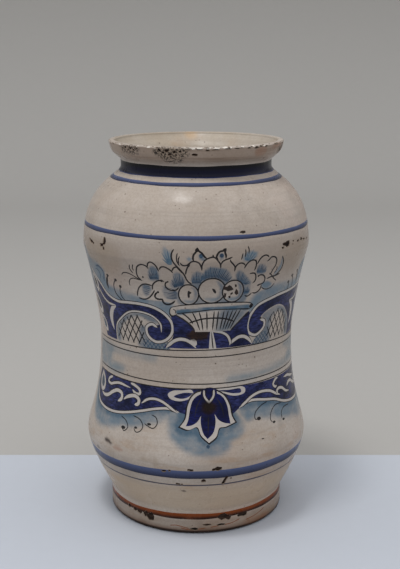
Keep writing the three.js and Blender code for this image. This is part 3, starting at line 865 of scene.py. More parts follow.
FLAKES = (
    (-65, 205, 3, 1.8), (-63, 203.8, 6, 2.4), (-60.5, 203, 3, 2.2), (-50, 206.8, 3.4, 5.4),
    (-52.2, 203.6, 4.6, 3), (-50.6, 201.8, 3, 2.6), (47.6, 205, 4, 2.8), (50, 204.6, 5.6, 4.6),
    (46.2, 202.8, 2.6, 1.8), (55, 205.8, 2, 1.4), (54.4, 203.6, 1.6, 1.2), (60, 204.8, 3.4, 2),
    (64, 205.2, 4.6, 2.6), (68, 204.4, 4.4, 1.8), (73, 203.6, 4, 1.6), (-16.2, 52.6, 4, 2),
    (-13.2, 53.4, 2.4, 1.6), (-3, 54.6, 5.2, 2.2), (8.6, 54.8, 3, 2.2), (11, 55.4, 5, 3.6),
    (3.7, 45.8, 3.4, 3.2), (18, 46.4, 1.6, 1.6), (-9.6, 42.7, 3.4, 1.8), (-7.4, 42.4, 1.8, 1.4),
    (-49.5, 11.6, 5, 3), (-44, 11, 5, 3), (-39.5, 10.4, 6, 3.2), (-34.5, 10.3, 5, 5), (-30.9, 9, 7.5, 6.6),
    (17.6, 11.8, 9.5, 5), (21, 10.6, 5, 4), (31.5, 11, 10.5, 4), (28.5, 10.4, 4, 2.4), (6.9, 6.8, 8, 2),
    (16, 6.2, 8, 2), (-1, 3.8, 7, 2), (75.7, 16, 2, 9),
)
RIM_FLAKES = (
    (-54, 266.8, 2.4, 1.4), (-51, 267.6, 3, 2), (-48.5, 266.2, 2.4, 1.6), (-46, 267.4, 3.4, 1.8),
    (-43, 266.6, 2.6, 1.6), (-40, 267.6, 2.4, 1.4), (-23.5, 267.6, 3.4, 2), (-21, 266, 3, 2),
    (-18.5, 267.2, 4.6, 2.4), (-16.8, 264.8, 3.6, 2), (-13.5, 266.6, 3.4, 2.6), (-12.5, 264.6, 2.6, 1.6),
    (-9.8, 266.8, 2.6, 1.8), (-0.7, 264.9, 5.6, 1.8), (-5, 268.2, 7, 0.8), (2, 268.3, 6, 0.8),
    (7, 267.8, 4, 1.4), (12, 268.1, 7, 1), (20, 268.5, 7, 1), (26, 268.6, 5, 1), (35, 268.4, 4, 1.2),
    (41, 268.2, 6, 1.6), (45, 268.8, 4, 1.4), (50, 268.6, 4, 1.4), (63, 269, 8, 1), (75, 268.8, 7, 1.4),
    (-87, 268.6, 5, 2.4), (-66, 268.8, 4, 1),
)
RIM_WHITE = (
    (-57, 269, 5), (-39, 269.2, 3), (-30.5, 269.2, 3.4), (-26, 269, 2.4), (-5, 269.3, 5), (-1.6, 269, 3.4),
    (2.2, 269.2, 5), (7.4, 269.3, 4), (12.6, 269.2, 5.4), (18, 269.4, 5), (21.5, 269.2, 2.6), (30, 269.5, 3),
    (38, 269.4, 4), (47.5, 269.2, 3.6),
)
STAINS = ((22.7, 216.5, 3.8, 1.8), (36, 71, 2, 1))

# Thinned marks: layer, softness, turn in degrees, height, width and height of the mark
SMUDGES = (
    ("grime", 3, -47, 266.6, 26, 7), ("grime", 2.5, -16, 266, 32, 9), ("grime", 3, -15, 261.5, 18, 6),
    ("grime", 3, 76, 265, 22, 6), ("dust", 3, -16, 266, 32, 9), ("stain", 2.5, 46, 265.5, 16, 7),
    ("stain", 3, 66, 268, 24, 4), ("stain", 3, 44, 4, 30, 5), ("dust", 1.6, -25, 59.5, 10, 3.4),
    ("dust", 1.6, -20.3, 58.5, 5, 7), ("soot", 1.6, -51.5, 64.7, 7, 3), ("soot", 1.6, -49, 63.8, 4, 2),
    ("stain", 2, -43, 62, 10, 3), ("soot", 1.6, -61, 55.5, 5, 2), ("soot", 1.2, -6.6, 36.6, 3.2, 1.6),
)


def ragged(rng, turn, level, wide, tall):
    """The broken outline of a flake or a stain."""
    corners = 9
    around = np.linspace(0, 2 * math.pi, corners, endpoint=False) + rng.uniform(-0.25, 0.25, corners)
    reach = rng.uniform(0.72, 1.22, corners)
    x = math.radians(turn) * UNROLL_RADIUS + wide / 2 * reach * np.cos(around)
    return cornered(np.column_stack([x, level + tall / 2 * reach * np.sin(around)]))


def mark_wear(p):
    """Smudges, stains, cracks in the foot, flakes out of the glaze, the worn and chipped rim, and painted
    shade under the shoulder at both sides.
    """
    rng = np.random.default_rng(4)
    for layer, softness, turn, level, wide, tall in SMUDGES:
        p.shade(layer, oval(math.radians(turn) * UNROLL_RADIUS, level, wide, tall), softness)
    # Wide soft patches at both sides under the shoulder: partly dust, partly painted shade where the wall
    # faces down and away from the light
    p.shade("dust", [(-95, 190), (-80, 186), (-64, 184), (-52, 190), (-50, 200), (-62, 207), (-80, 206),
                     (-93, 200)], 7)
    p.shade("dust", [(55, 190), (70, 186), (95, 188), (98, 200), (80, 207), (60, 205)], 7)
    for stain in STAINS:
        p.patch("brown", ragged(rng, *stain))
    for crack in ([(-22, 5.5), (-17, 6.1), (-12, 5.4), (-6, 4.2)],
                  [(-13, 4.4), (-7, 3.4), (0, 3.6), (8, 4.6)],
                  [(12, 4.8), (20, 5.6), (30, 6.2), (38, 8)], [(44, 6), (56, 7.4), (66, 9.6)]):
        p.stroke("rust", crack, 0.5)
    p.stroke("clay", [(20.8, 48.6), (19.4, 45.2), (18, 41.8)], 2.3, 0.6, 0.6)
    worn_tall = 1.1
    for turn, level, wide in RIM_WHITE:
        p.patch("worn", ragged(rng, turn, level, wide, worn_tall))
    for flake in FLAKES + RIM_FLAKES:
        p.patch("clay", ragged(rng, *flake))
    chip_turn = 3.6  # degrees from chip to chip along the rim's edge, from the back right round
    front = 95  # degrees to either side; behind them the chips are smaller
    chip_low, chip_spread, chip_tall = 268.9, 1.3, 0.7
    for turn in np.arange(-172, 180, chip_turn):
        size = rng.uniform(1.2, 3.6) if abs(turn) < front else rng.uniform(0.7, 1.6)
        chip = (turn + rng.uniform(-1.6, 1.6), chip_low + rng.uniform(0, chip_spread), size, chip_tall)
        p.patch("clay", ragged(rng, *chip))


def whole_painting():
    """Every part, in the order of the brush, and the wear over them all."""
    p = Painting()
    for part in (paint_bands, paint_halos, paint_lower_scrolls, paint_upper_scrolls, paint_leaves,
                 paint_flowers, paint_fruit, paint_bowl, paint_banner, paint_pendant, paint_hooks, mark_wear):
        part(p)
    return p


# Meshes

def inside(points, outline):
    """Which points an outline winds round."""
    x, y = points[:, :1], points[:, 1:]
    x0, y0 = outline.T
    x1, y1 = np.roll(outline, -1, axis=0).T
    side = (x1 - x0) * (y - y0) - (x - x0) * (y1 - y0)
    up = (y0 <= y) & (y1 > y) & (side > 0)
    down = (y0 > y) & (y1 <= y) & (side < 0)
    return up.sum(1) != down.sum(1)


def distances(points, others):
    """How far each point lies from the nearest of the others."""
    tree = kdtree.KDTree(len(others))
    for i, other in enumerate(others):
        tree.insert((*other, 0), i)
    tree.balance()
    return np.array([tree.find((*point, 0))[2] for point in points])


def background_points():
    """Rows of points over the whole unrolled outside, closer together where its line bends sharply."""
    ahead = np.gradient(outside, along, axis=0)
    bend = np.linalg.norm(np.gradient(ahead, along, axis=0), axis=1)
    spacing = np.clip(ROW_BEND / np.maximum(bend, 1e-3), LEAST_ROW, ROW_STEP)
    count = np.append(0, np.cumsum(np.diff(along) / ((spacing[1:] + spacing[:-1]) / 2)))
    rows = np.interp(np.linspace(0, count[-1], round(count[-1]) + 1), count, along)
    columns = np.linspace(-HALF_TURN, HALF_TURN, COLUMNS + 1)
    middles = (columns[1:] + columns[:-1]) / 2
    edge_rows = [np.column_stack([columns, np.full(len(columns), end)]) for end in (0, along[-1])]
    border = np.vstack([*edge_rows, *[[(-HALF_TURN, row), (HALF_TURN, row)] for row in rows[1:-1]]])
    filling = np.vstack([
        np.column_stack([xs, np.full(len(xs), row)])
        for i, row in enumerate(rows[1:-1])
        for xs in [columns[1:-1] if i % 2 else middles]
    ])
    return border, filling


def along_wall(outline):
    """An outline with its heights turned into places along the wall's line."""
    return None if outline is None else np.column_stack([outline[:, 0], along_at(outline[:, 1])])


def fine_grid(shapes):
    """Close-set points wherever thinned paint fades out over a short way."""
    cells = set()
    for shape in shapes:
        if shape.softness and shape.softness < ROW_STEP:
            low = np.floor((shape.outline.min(0) - shape.softness) / FADE_STEP).astype(int)
            high = np.ceil((shape.outline.max(0) + shape.softness) / FADE_STEP).astype(int)
            cells.update((i, k) for i in range(low[0], high[0] + 1) for k in range(low[1], high[1] + 1))
    grid = FADE_STEP * np.array(sorted(cells), float)
    return grid[(grid[:, 1] > FADE_STEP) & (grid[:, 1] < along[-1] - FADE_STEP)]


def triangles(shapes):
    """Triangles of the unrolled outside that follow every hard outline."""
    clear_of_grid = 0.9
    clear_of_paint = 0.45 * PAINT_STEP
    clear_of_seam = 0.1
    merging = 1e-4
    border, filling = background_points()
    grid = fine_grid(shapes)
    filling = np.vstack([filling[distances(filling, grid) >= clear_of_grid], grid])
    outlines = [shape.outline for shape in shapes if not shape.softness]
    drawn = np.vstack(outlines)
    filling = filling[distances(filling, drawn) >= clear_of_paint]
    on_edge = np.abs(np.abs(drawn[:, 0]) - HALF_TURN) < 1e-6
    border = border[(distances(border, drawn[on_edge]) >= clear_of_seam) | (border[:, 1] < 0.01)]
    points = np.vstack([border, filling, drawn])
    first = len(border) + len(filling)
    edges = []
    for outline in outlines:
        ring = first + np.arange(len(outline))
        edges += list(zip(ring.tolist(), np.roll(ring, -1).tolist()))
        first += len(outline)
    every_point = [Vector(point) for point in points]
    verts, _, faces, *_ = geometry.delaunay_2d_cdt(every_point, edges, [], 0, merging)
    return np.array([tuple(v) for v in verts]), np.array(faces)


def faces_within(centres, outline, mask=None):
    """Which triangles an outline, and the mask that it is painted through, wind round."""
    low, high = outline.min(0), outline.max(0)
    close = np.flatnonzero(((centres >= low) & (centres <= high)).all(1))
    hits = []
    at_a_time = 4000
    for part in np.array_split(close, len(close) // at_a_time + 1):
        hit = inside(centres[part], outline)
        if mask is not None:
            hit &= inside(centres[part], mask)
        hits.append(part[hit])
    return np.concatenate(hits)


def soft_share(flat, outline, softness):
    """How much thinned paint lies at each point: full well inside, none well outside."""
    low, high = outline.min(0) - softness, outline.max(0) + softness
    close = np.flatnonzero(((flat >= low) & (flat <= high)).all(1))
    away = distances(flat[close], outline)
    within = inside(flat[close], outline)
    on_outline = 0.4
    share = np.zeros(len(flat))
    share[close] = np.clip(on_outline + np.where(within, away, -away) / softness, 0, 1)
    return share


def band_depth(flat, bands):
    """How far down a painted band each point lies, from 0 at its upper edge to 1 at its lower."""
    level = np.interp(flat[:, 1], along, outside[:, 1])
    depth = np.zeros(len(flat))
    wavy = 0.7  # more than a band's edge strays from its straight line
    for low, high, lean in bands:
        straight = level - lean * np.sin(flat[:, 0] / UNROLL_RADIUS)
        hit = (straight > low - wavy) & (straight < high + wavy)
        depth[hit] = np.clip((high - straight[hit]) / (high - low), 0, 1)
    return depth


def lay_out(painting):
    """Triangles of the painted sheet, the paint of each, and the thinned paints at their corners."""
    shapes = [shape._replace(outline=along_wall(shape.outline), within=along_wall(shape.within))
              for shape in painting.shapes]
    flat, faces = triangles(shapes)
    centres = flat[faces].mean(1)
    paints = np.full(len(faces), "bare", dtype="U8")
    soft = {name: np.zeros((len(faces), 3)) for name in SOFT_PAINTS}
    for shape in shapes:
        if shape.softness:
            share = soft_share(flat, shape.outline, shape.softness)[faces]
            soft[shape.paint] = np.maximum(soft[shape.paint], share)
            continue
        hit = faces_within(centres, shape.outline, shape.within)
        paints[hit] = shape.paint
        if shape.paint in ("bare", "white"):
            for layer in soft.values():
                layer[hit] = 0
    soft["depth"] = band_depth(flat, painting.bands)[faces]
    return flat, faces, paints, soft


def bake_map(x, reach):
    """Places on the texture: the front and the painted heights get most of it."""
    front = 125
    low, high = 62, 215
    u = np.interp(x, [-HALF_TURN, -front, front, HALF_TURN], [MAP_EDGE, 0.15, 0.85, 1 - MAP_EDGE])
    v = np.interp(reach, [0, low, high, along[-1]], [BACK_MAP + MAP_EDGE, 0.2, 0.86, 1 - MAP_EDGE])
    return np.column_stack([u, v])


def make_object(name, points, faces):
    """A smooth object from points in millimetres and faces."""
    mesh = bpy.data.meshes.new(name)
    mesh.from_pydata((np.asarray(points) * MM).tolist(), [], [tuple(face) for face in faces])
    mesh.validate()
    piece = bpy.data.objects.new(name, mesh)
    bpy.context.scene.collection.objects.link(piece)
    mesh.shade_smooth()
    return piece


def seam_numbers(flat):
    """Point numbers in which the sheet's two upright borders are one seam at the back."""
    left = np.flatnonzero(flat[:, 0] < -HALF_TURN + TOUCHING)
    right = np.flatnonzero(flat[:, 0] > HALF_TURN - TOUCHING)
    number = np.arange(len(flat))
    number[right[np.argsort(flat[right, 1])]] = left[np.argsort(flat[left, 1])]
    return number


def sides_of(triangle_corners):
    """The three sides of every triangle, as pairs of point numbers."""
    return np.concatenate([triangle_corners[:, [a, b]] for a, b in ((0, 1), (1, 2), (2, 0))])


def sink_flakes(flat, corners, corner_flat, sunk):
    """Gives the flakes' triangles their own points, sunk into the glaze, and a wall all round.

    Changes corners and corner_flat where they are sunk. Returns the new points, the walls and
    the places of the walls' corners on the sheet.
    """
    used, spot = np.unique(corners[sunk], return_inverse=True)
    spot = spot.reshape(-1, 3)
    times_used = np.bincount(spot.ravel(), minlength=len(used))[:, None]
    middle = np.zeros((len(used), 2))
    for column in range(3):
        np.add.at(middle, spot[:, column], corner_flat[sunk].mean(1))
    middle /= times_used

    sides = sides_of(corners[sunk])
    _, first, times = np.unique(np.sort(sides, axis=1), axis=0, return_index=True, return_counts=True)
    rim = sides[first[times == 1]]
    on_rim = np.isin(used, rim)

    # The floor's edge lies a little inside the flake's outline, so that its wall slopes
    slope = 0.22
    edge_depth = 0.55
    least_depth, most_depth = 0.5, 0.85
    place = flat[used].copy()
    inward = middle - place
    length = np.maximum(np.linalg.norm(inward, axis=1), 1e-6)
    place[on_rim] += (inward * np.minimum(slope, 0.5 * length)[:, None] / length[:, None])[on_rim]
    rough = np.random.default_rng(9).uniform(least_depth, most_depth, len(used))
    floors = skin(place[:, 0], place[:, 1], np.where(on_rim, edge_depth, rough))

    copy_of = np.full(len(flat), -1)
    copy_of[used] = len(flat) + np.arange(len(used))
    corners[sunk] = copy_of[corners[sunk]]
    corner_flat[sunk] = place[spot]
    walls = np.column_stack([rim, copy_of[rim[:, 1]], copy_of[rim[:, 0]]])
    walls_flat = np.concatenate([flat[rim], place[np.searchsorted(used, rim[:, ::-1])]], axis=1)
    return floors, walls, walls_flat


def shell_back(flat, first):
    """The back of the glaze: its points, and quads that join its rings to the front's two edges."""
    depth = GLAZE - UNDER_GLAZE
    reaches = np.linspace(along[-1], 0, BACK_RINGS)
    columns = np.linspace(-HALF_TURN, HALF_TURN, COLUMNS + 1)[:-1]
    points = np.vstack([skin(columns, np.full(COLUMNS, reach), depth) for reach in reaches])
    edges = []
    for end in (along[-1], 0):
        on_edge = np.flatnonzero((np.abs(flat[:, 1] - end) < TOUCHING) & (flat[:, 0] < HALF_TURN - TOUCHING))
        edges.append(on_edge[np.argsort(flat[on_edge, 0])])
    rings = [edges[0], *(first + np.arange(len(points))).reshape(-1, COLUMNS), edges[1]]
    quads = [np.column_stack([above, np.roll(above, -1), np.roll(below, -1), below])
             for above, below in zip(rings, rings[1:])]
    return points, np.concatenate(quads)


def back_map(quad_count):
    """Places for the unseen back, in a strip along the texture's foot."""
    cell = np.array([(0, 0), (1, 0), (1, 1), (0, 1)])
    rows = quad_count // COLUMNS
    at = np.stack(np.meshgrid(np.arange(COLUMNS), np.arange(rows)), axis=-1).reshape(-1, 1, 2)
    return MAP_EDGE + (at + cell) / (COLUMNS, rows) * (1 - 2 * MAP_EDGE, BACK_MAP - 2 * MAP_EDGE)


def front_normals(flat):
    """Normals of the true surface, so that thin triangles between outlines don't show."""
    step = 0.3
    x, reach = flat.T
    low, high = np.maximum(reach - step, 0), np.minimum(reach + step, along[-1])
    normal = np.cross(skin(x + step, reach) - skin(x - step, reach), skin(x, high) - skin(x, low))
    return normal / np.linalg.norm(normal, axis=1)[:, None]


def store(mesh, name, values):
    """Keeps one number for each corner of the mesh."""
    layer = mesh.attributes.new(name, "FLOAT", "CORNER")
    layer.data.foreach_set("value", np.asarray(values, np.float32))


def painted_glaze():
    """The outer glaze: a thin closed shell whose front follows the painting and whose flakes are sunk."""
    flat, faces, paints, soft = lay_out(whole_painting())
    corners = seam_numbers(flat)[faces]
    corner_flat = flat[faces]
    sunk = paints == "clay"
    floors, walls, walls_flat = sink_flakes(flat, corners, corner_flat, sunk)
    back_points, back = shell_back(flat, len(flat) + len(floors))
    points = np.vstack([skin(flat[:, 0], flat[:, 1]), floors, back_points])

    kept = np.unique(np.concatenate([corners.ravel(), walls.ravel(), back.ravel()]))
    number = np.full(len(points), -1)
    number[kept] = np.arange(len(kept))
    every_face = [*number[corners].tolist(), *number[walls].tolist(), *number[back].tolist()]
    piece = make_object("painted_glaze", points[kept], every_face)
    mesh = piece.data

    face_paint = np.concatenate([paints, np.full(len(walls), "edge"), np.full(len(back), "bare")])
    corner_paint = np.repeat(face_paint, [len(face) for face in every_face])
    for paint in PAINTS:
        store(mesh, paint, corner_paint == paint)
    unpainted = np.zeros(len(corner_paint) - 3 * len(faces))
    for name, share in soft.items():
        store(mesh, name, np.append(share.ravel(), unpainted))

    front_map = bake_map(*np.vstack([corner_flat.reshape(-1, 2), walls_flat.reshape(-1, 2)]).T)
    uv = np.vstack([front_map, back_map(len(back)).reshape(-1, 2)])
    mesh.uv_layers.new(name="OFBake").data.foreach_set("uv", uv.ravel().astype(np.float32))

    normals = np.zeros((len(corner_paint), 3))
    smooth_front = np.append(np.repeat(~sunk, 3), unpainted > 0)
    normals[smooth_front] = front_normals(flat)[faces[~sunk]].reshape(-1, 3)
    mesh.normals_split_custom_set(normals.tolist())
    return piece


def lathe(name, section):
    """Turns a section, given from one end to the other, round the axis."""
    angle = np.linspace(0, 2 * math.pi, COLUMNS, endpoint=False)
    points = []
    rings = []
    for radius, level in np.asarray(section, float):
        if radius < 1e-6:
            rings.append([len(points)] * COLUMNS)
            points.append((0, 0, level))
            continue
        rings.append(list(range(len(points), len(points) + COLUMNS)))
        circle = [radius * np.sin(angle), -radius * np.cos(angle), np.full(COLUMNS, level)]
        points.extend(np.column_stack(circle))
    faces = []
    for ring, following in zip(rings, rings[1:]):
        for i in range(COLUMNS):
            corners = [ring[i], following[i], following[(i + 1) % COLUMNS], ring[(i + 1) % COLUMNS]]
            faces.append(list(dict.fromkeys(corners))[::-1])
    return make_object(name, points, faces)


def clay_pot():
    """The thrown pot, seen at the bare edge of the foot and underneath."""
    clay = coarser(inset(join(outside, inside_wall), GLAZE + UNDER_GLAZE))
    clay[-1, 0] = 0
    ring_inside = FOOT_RADIUS - GLAZE - FOOT_RING
    ring_outside = clay[0, 0]
    worn_inside = [(ring_inside - 0.6, 0.5), (ring_inside + 0.5, 0)]
    worn_outside = [(ring_outside - 0.8, 0), (ring_outside, 0.7)]
    underside = [(0, FOOT_RECESS), (ring_inside - FOOT_RECESS, FOOT_RECESS), *worn_inside, *worn_outside]
    return lathe("clay_pot", join(underside, clay))


def lining():
    """The glaze inside, from the rim's inner edge down and across the floor."""
    line = join(outside, inside_wall)
    start = len(outside) - 1
    back = coarser(inset(line, GLAZE)[start:])
    back[-1, 0] = 0
    return lathe("lining", np.vstack([back[::-1], coarser(line[start:])]))


# Materials

def colour(red, green, blue):
    """A colour given as it looks on a screen, as Blender's linear values."""
    return (*[((c / 255 + 0.055) / 1.055) ** 2.4 for c in (red, green, blue)], 1)


class Nodes:
    """The node tree of one material: each call makes a node and gives back its output."""

    def __init__(self, name):
        self.material = bpy.data.materials.new(name)
        self.material.use_nodes = True
        self.tree = self.material.node_tree
        self.shader = self.tree.nodes["Principled BSDF"]
        self.place = self.add("TexCoord", output="Object")

    def add(self, kind, inputs=None, output=0, **settings):
        """Makes a node, fills its inputs and gives back one of its outputs."""
        made = self.tree.nodes.new("ShaderNode" + kind)
        for name, value in settings.items():
            setattr(made, name, value)
        for socket, value in (inputs or {}).items():
            self.set(made.inputs[socket], value)
        return made.outputs[output]

    def set(self, socket, value):
        """Links an output to the socket, or gives it a plain value."""
        if isinstance(value, bpy.types.NodeSocket):
            self.tree.links.new(value, socket)
        else:
            socket.default_value = value

    def mix(self, share, low, high):
        """A colour on the way from low to high."""
        return self.add("Mix", {0: share, 6: low, 7: high}, 2, data_type="RGBA")

    def tint(self, base, tone, share, amount):
        """The base colour with a tone laid over it, as strongly as share times amount."""
        return self.mix(self.maths("MULTIPLY", share, amount), base, tone)

    def stretched(self, across, up):
        """Places for a noise with so many waves to the metre across and up."""
        return self.add("Mapping", {"Vector": self.place, "Scale": (across, across, up)})

    def noise(self, scale, detail, rough, vector=None, bend=0.0):
        """Cloudy noise, with scale waves to the metre."""
        inputs = {"Vector": vector or self.place, "Scale": scale, "Detail": detail, "Roughness": rough,
                  "Distortion": bend}
        return self.add("TexNoise", inputs, "Fac")

    def between(self, value, low, high, to_low=0.0, to_high=1.0):
        """Maps the stretch from low to high onto 0 to 1, and holds it there outside."""
        inputs = {"Value": value, 1: low, 2: high, 3: to_low, 4: to_high}
        return self.add("MapRange", inputs, interpolation_type="SMOOTHSTEP")

    def maths(self, operation, first, second):
        """The result of one operation on two values."""
        return self.add("Math", {0: first, 1: second}, operation=operation)

    def layer(self, name):
        """The mesh's own record of where a paint lies."""
        return self.add("Attribute", output="Fac", attribute_name=name)

    def specks(self, scale, size, share):
        """Small round dots, in a share of the cells of a random net."""
        net = {"Vector": self.place, "Scale": scale}
        fade = 2.2
        dots = self.add("TexVoronoi", net, "Distance")
        pick = self.add("TexVoronoi", net, "Color")
        chosen = self.between(self.add("SeparateColor", {0: pick}, 0), 1 - share, 1.01 - share)
        return self.maths("MULTIPLY", self.between(dots, size, size * fade, 1.0, 0.0), chosen)

    def height(self):
        """Height over the table, in metres."""
        return self.add("SeparateXYZ", {0: self.place}, "Z")

    def bump(self, *heights):
        """Relief, from pairs of a height between 0 and 1 and its size in metres."""
        normal = None
        for height, distance in heights:
            inputs = {"Height": height, "Distance": distance, "Strength": 1.0}
            if normal:
                inputs["Normal"] = normal
            normal = self.add("Bump", inputs)
        self.set(self.shader.inputs["Normal"], normal)

    def finish(self, base, roughness, **sockets):
        """Connects the shader and gives back the material."""
        self.set(self.shader.inputs["Base Color"], base)
        self.set(self.shader.inputs["Roughness"], roughness)
        for name, value in sockets.items():
            self.set(self.shader.inputs[name], value)
        return self.material


def tin_glaze(n, pale, warm, grey):
    """White tin glaze: cloudy, faintly ringed by the wheel, crazed and specked with iron."""
    clouds = n.between(n.noise(16, 4, 0.6), 0.38, 0.66)
    blush = n.between(n.noise(28, 5, 0.65, bend=0.6), 0.5, 0.75)
    pink = n.between(n.noise(11, 3, 0.6), 0.5, 0.68)
    grain = n.between(n.noise(620, 3, 0.7), 0.4, 0.62)
    base = n.mix(clouds, pale, warm)
    base = n.tint(base, colour(176, 154, 140), pink, 0.5)
    base = n.tint(base, grey, blush, 0.5)
    base = n.tint(base, colour(118, 102, 88), grain, 0.16)
    rings = n.between(n.noise(1, 3, 0.6, n.stretched(9, 420)), 0.46, 0.7)
    base = n.tint(base, grey, rings, 0.32)
    cells = n.add("TexVoronoi", {"Vector": n.place, "Scale": 260.0}, "Distance", feature="DISTANCE_TO_EDGE")
    craze = n.between(cells, 0.0, 0.03, 1.0, 0.0)
    base = n.tint(base, colour(108, 92, 76), craze, 0.12)
    base = n.tint(base, colour(84, 68, 56), n.specks(380, 0.11, 0.1), 0.6)
    base = n.tint(base, colour(70, 54, 44), n.specks(150, 0.05, 0.12), 0.8)
    return base, rings


def glaze_bump(n, rings):
    """Waves from dipping, rings from the wheel and the fine peel of a fired glaze."""
    peel = n.noise(330, 2, 0.5)
    waves = n.noise(45, 2, 0.5)
    n.bump((waves, 0.0006), (rings, 0.00005), (peel, 0.00008))


def stains_and_shade_by_height(n, base, rings):
    """Stains, dirt and painted shade by height on the jar, each from where it is faint to where it is full.
    """
    level = n.height()
    stained = n.between(n.noise(34, 4, 0.6), 0.42, 0.7)
    smears = n.between(n.noise(1, 5, 0.65, n.stretched(26, 110)), 0.48, 0.72)
    low_stain = n.maths("MULTIPLY", n.between(level, 0.105, 0.06), smears)
    base = n.tint(base, colour(150, 122, 94), low_stain, 0.55)
    # Painted shade under the shoulder, where the wall faces down, with some dirt in it
    painted_shade_under_shoulder = n.maths("MULTIPLY", n.between(level, 0.213, 0.203), n.between(level, 0.165, 0.19))
    base = n.tint(base, colour(132, 118, 106), painted_shade_under_shoulder, 0.45)
    collar = n.maths("MULTIPLY", n.between(level, 0.256, 0.262), n.between(level, 0.2694, 0.2684))
    base = n.tint(base, colour(130, 104, 80), collar, 0.5)
    base = n.tint(base, colour(108, 86, 70), collar, n.maths("MULTIPLY", rings, 0.6))
    flare = n.maths("MULTIPLY", n.between(level, 0.046, 0.034), n.between(level, 0.014, 0.022))
    base = n.tint(base, colour(184, 160, 130), flare, 0.5)
    foot_dirt = n.maths("MULTIPLY", n.between(level, 0.012, 0.001), stained)
    base = n.tint(base, colour(126, 100, 80), foot_dirt, 0.7)
    # The last and darkest of these bands, along the foot's bottom edge, is partly grime and partly painted
    # shade where the jar stands on the table
    for faint, full, share, tone in ((0.0125, 0.0092, 0.34, colour(96, 74, 50)),
                                     (0.0065, 0.002, 0.7, colour(98, 70, 54)),
                                     (0.0034, 0.002, 0.95, colour(34, 22, 17))):
        base = n.mix(n.between(level, faint, full, 0.0, share), base, tone)
    return base


def brushwork(n, base):
    """The paints over the glaze, streaked by the brush and darker where they pooled, and the flakes."""
    brush = n.noise(1, 4, 0.6, n.stretched(240, 900))
    pools = n.noise(90, 4, 0.65)
    thin = n.maths("MULTIPLY", n.between(pools, 0.32, 0.62), n.between(brush, 0.3, 0.65))
    streaks = n.between(pools, 0.3, 0.62, 0.6, 1.0)
    depth = n.layer("depth")

    def paint(name, tone, cover):
        """Lays a tone over the base where the named paint lies."""
        nonlocal base
        base = n.tint(base, tone, n.layer(name), cover)

    def laid(thick, thinned):
        """A paint's colour, from where it lies thick to where the brush left it thin."""
        return n.mix(thin, colour(*thick), colour(*thinned))

    # The dust layer also lays painted shade under the shoulder at the sides
    for name, tone, cover in (("dust", colour(134, 117, 96), 0.38), ("stain", colour(132, 84, 54), 0.5),
                              ("wash", colour(92, 112, 122), 0.74), ("halo", colour(78, 104, 120), 0.8),
                              ("petal", colour(48, 78, 98), 0.72)):
        paint(name, tone, n.maths("MULTIPLY", streaks, cover))
    paint("sky", laid((50, 78, 98), (88, 106, 116)), 0.88)
    paint("teal", laid((24, 44, 64), (62, 84, 102)), 0.92)
    paint("white", colour(180, 174, 168), 0.6)
    paint("blue", n.mix(depth, colour(74, 86, 122), colour(5, 13, 42)), 0.97)
    paint("line", colour(44, 46, 64), 0.9)
    navy = n.mix(n.between(depth, 0.1, 0.55), colour(10, 8, 12), colour(12, 13, 36))
    paint("navy", n.mix(n.between(depth, 0.88, 1), navy, colour(42, 52, 92)), 1.0)
    burnt = n.maths("MULTIPLY", n.between(depth, 0.2, 0.9), n.between(pools, 0.3, 0.55, 0.6, 1.0))
    paint("rust", n.mix(burnt, colour(118, 54, 12), colour(34, 14, 3)), n.between(thin, 0.0, 0.6, 0.97, 1.0))
    paint("cobalt", laid((9, 11, 38), (46, 51, 96)), 1.0)
    paint("indigo", laid((8, 10, 40), (20, 26, 82)), 1.0)
    paint("ink", laid((10, 8, 8), (32, 28, 32)), 0.97)
    paint("soot", laid((22, 10, 6), (40, 22, 16)), 0.9)
    grime_grain = n.between(n.noise(760, 3, 0.65), 0.44, 0.56)
    paint("grime", laid((40, 34, 29), (70, 62, 54)), grime_grain)
    paint("brown", laid((22, 12, 8), (46, 28, 20)), 0.96)
    paint("clay", laid((22, 16, 13), (60, 44, 35)), 1.0)
    paint("edge", colour(128, 112, 96), 1.0)
    paint("worn", colour(214, 206, 194), n.between(n.noise(300, 2, 0.5), 0.38, 0.5))
    return base


def painted_material():
    """Tin glaze with blue brushwork under its gloss; flakes show the clay."""
    n = Nodes("painted_tin_glaze")
    base, rings = tin_glaze(n, colour(177, 166, 155), colour(166, 153, 140), colour(146, 136, 126))
    base = brushwork(n, stains_and_shade_by_height(n, base, rings))
    gloss = n.between(n.noise(30, 3, 0.6), 0.3, 0.7, 0.2, 0.36)
    roughness = n.maths("MAXIMUM", gloss, n.maths("MULTIPLY", n.layer("clay"), 0.95))
    roughness = n.maths("MAXIMUM", roughness, n.maths("MULTIPLY", n.layer("grime"), 0.6))
    glaze_bump(n, rings)
    return n.finish(base, roughness, **{"Specular IOR Level": 0.16})


def lining_material():
    """Plain tin glaze, creamier and more stained than outside, with painted shade deeper down inside."""
    n = Nodes("lining_tin_glaze")
    base, rings = tin_glaze(n, colour(170, 159, 145), colour(160, 146, 127), colour(138, 125, 109))
    tide = n.between(n.noise(22, 4, 0.65), 0.5, 0.72)
    base = n.tint(base, colour(158, 128, 94), tide, 0.4)
    spill = (-0.004, 0.058, 0.267)
    from_spill = n.add("VectorMath", {0: n.place, 1: spill}, "Value", operation="DISTANCE")
    base = n.mix(n.between(from_spill, 0.008, 0.002, 0.0, 0.45), base, colour(184, 142, 84))
    # Painted shade: darker deeper down inside the jar
    painted_deep_shade = n.between(n.height(), 0.2, 0.04)
    base = n.tint(base, colour(120, 100, 76), painted_deep_shade, 0.6)
    glaze_bump(n, rings)
    return n.finish(base, n.between(n.noise(30, 3, 0.6), 0.3, 0.7, 0.3, 0.5))


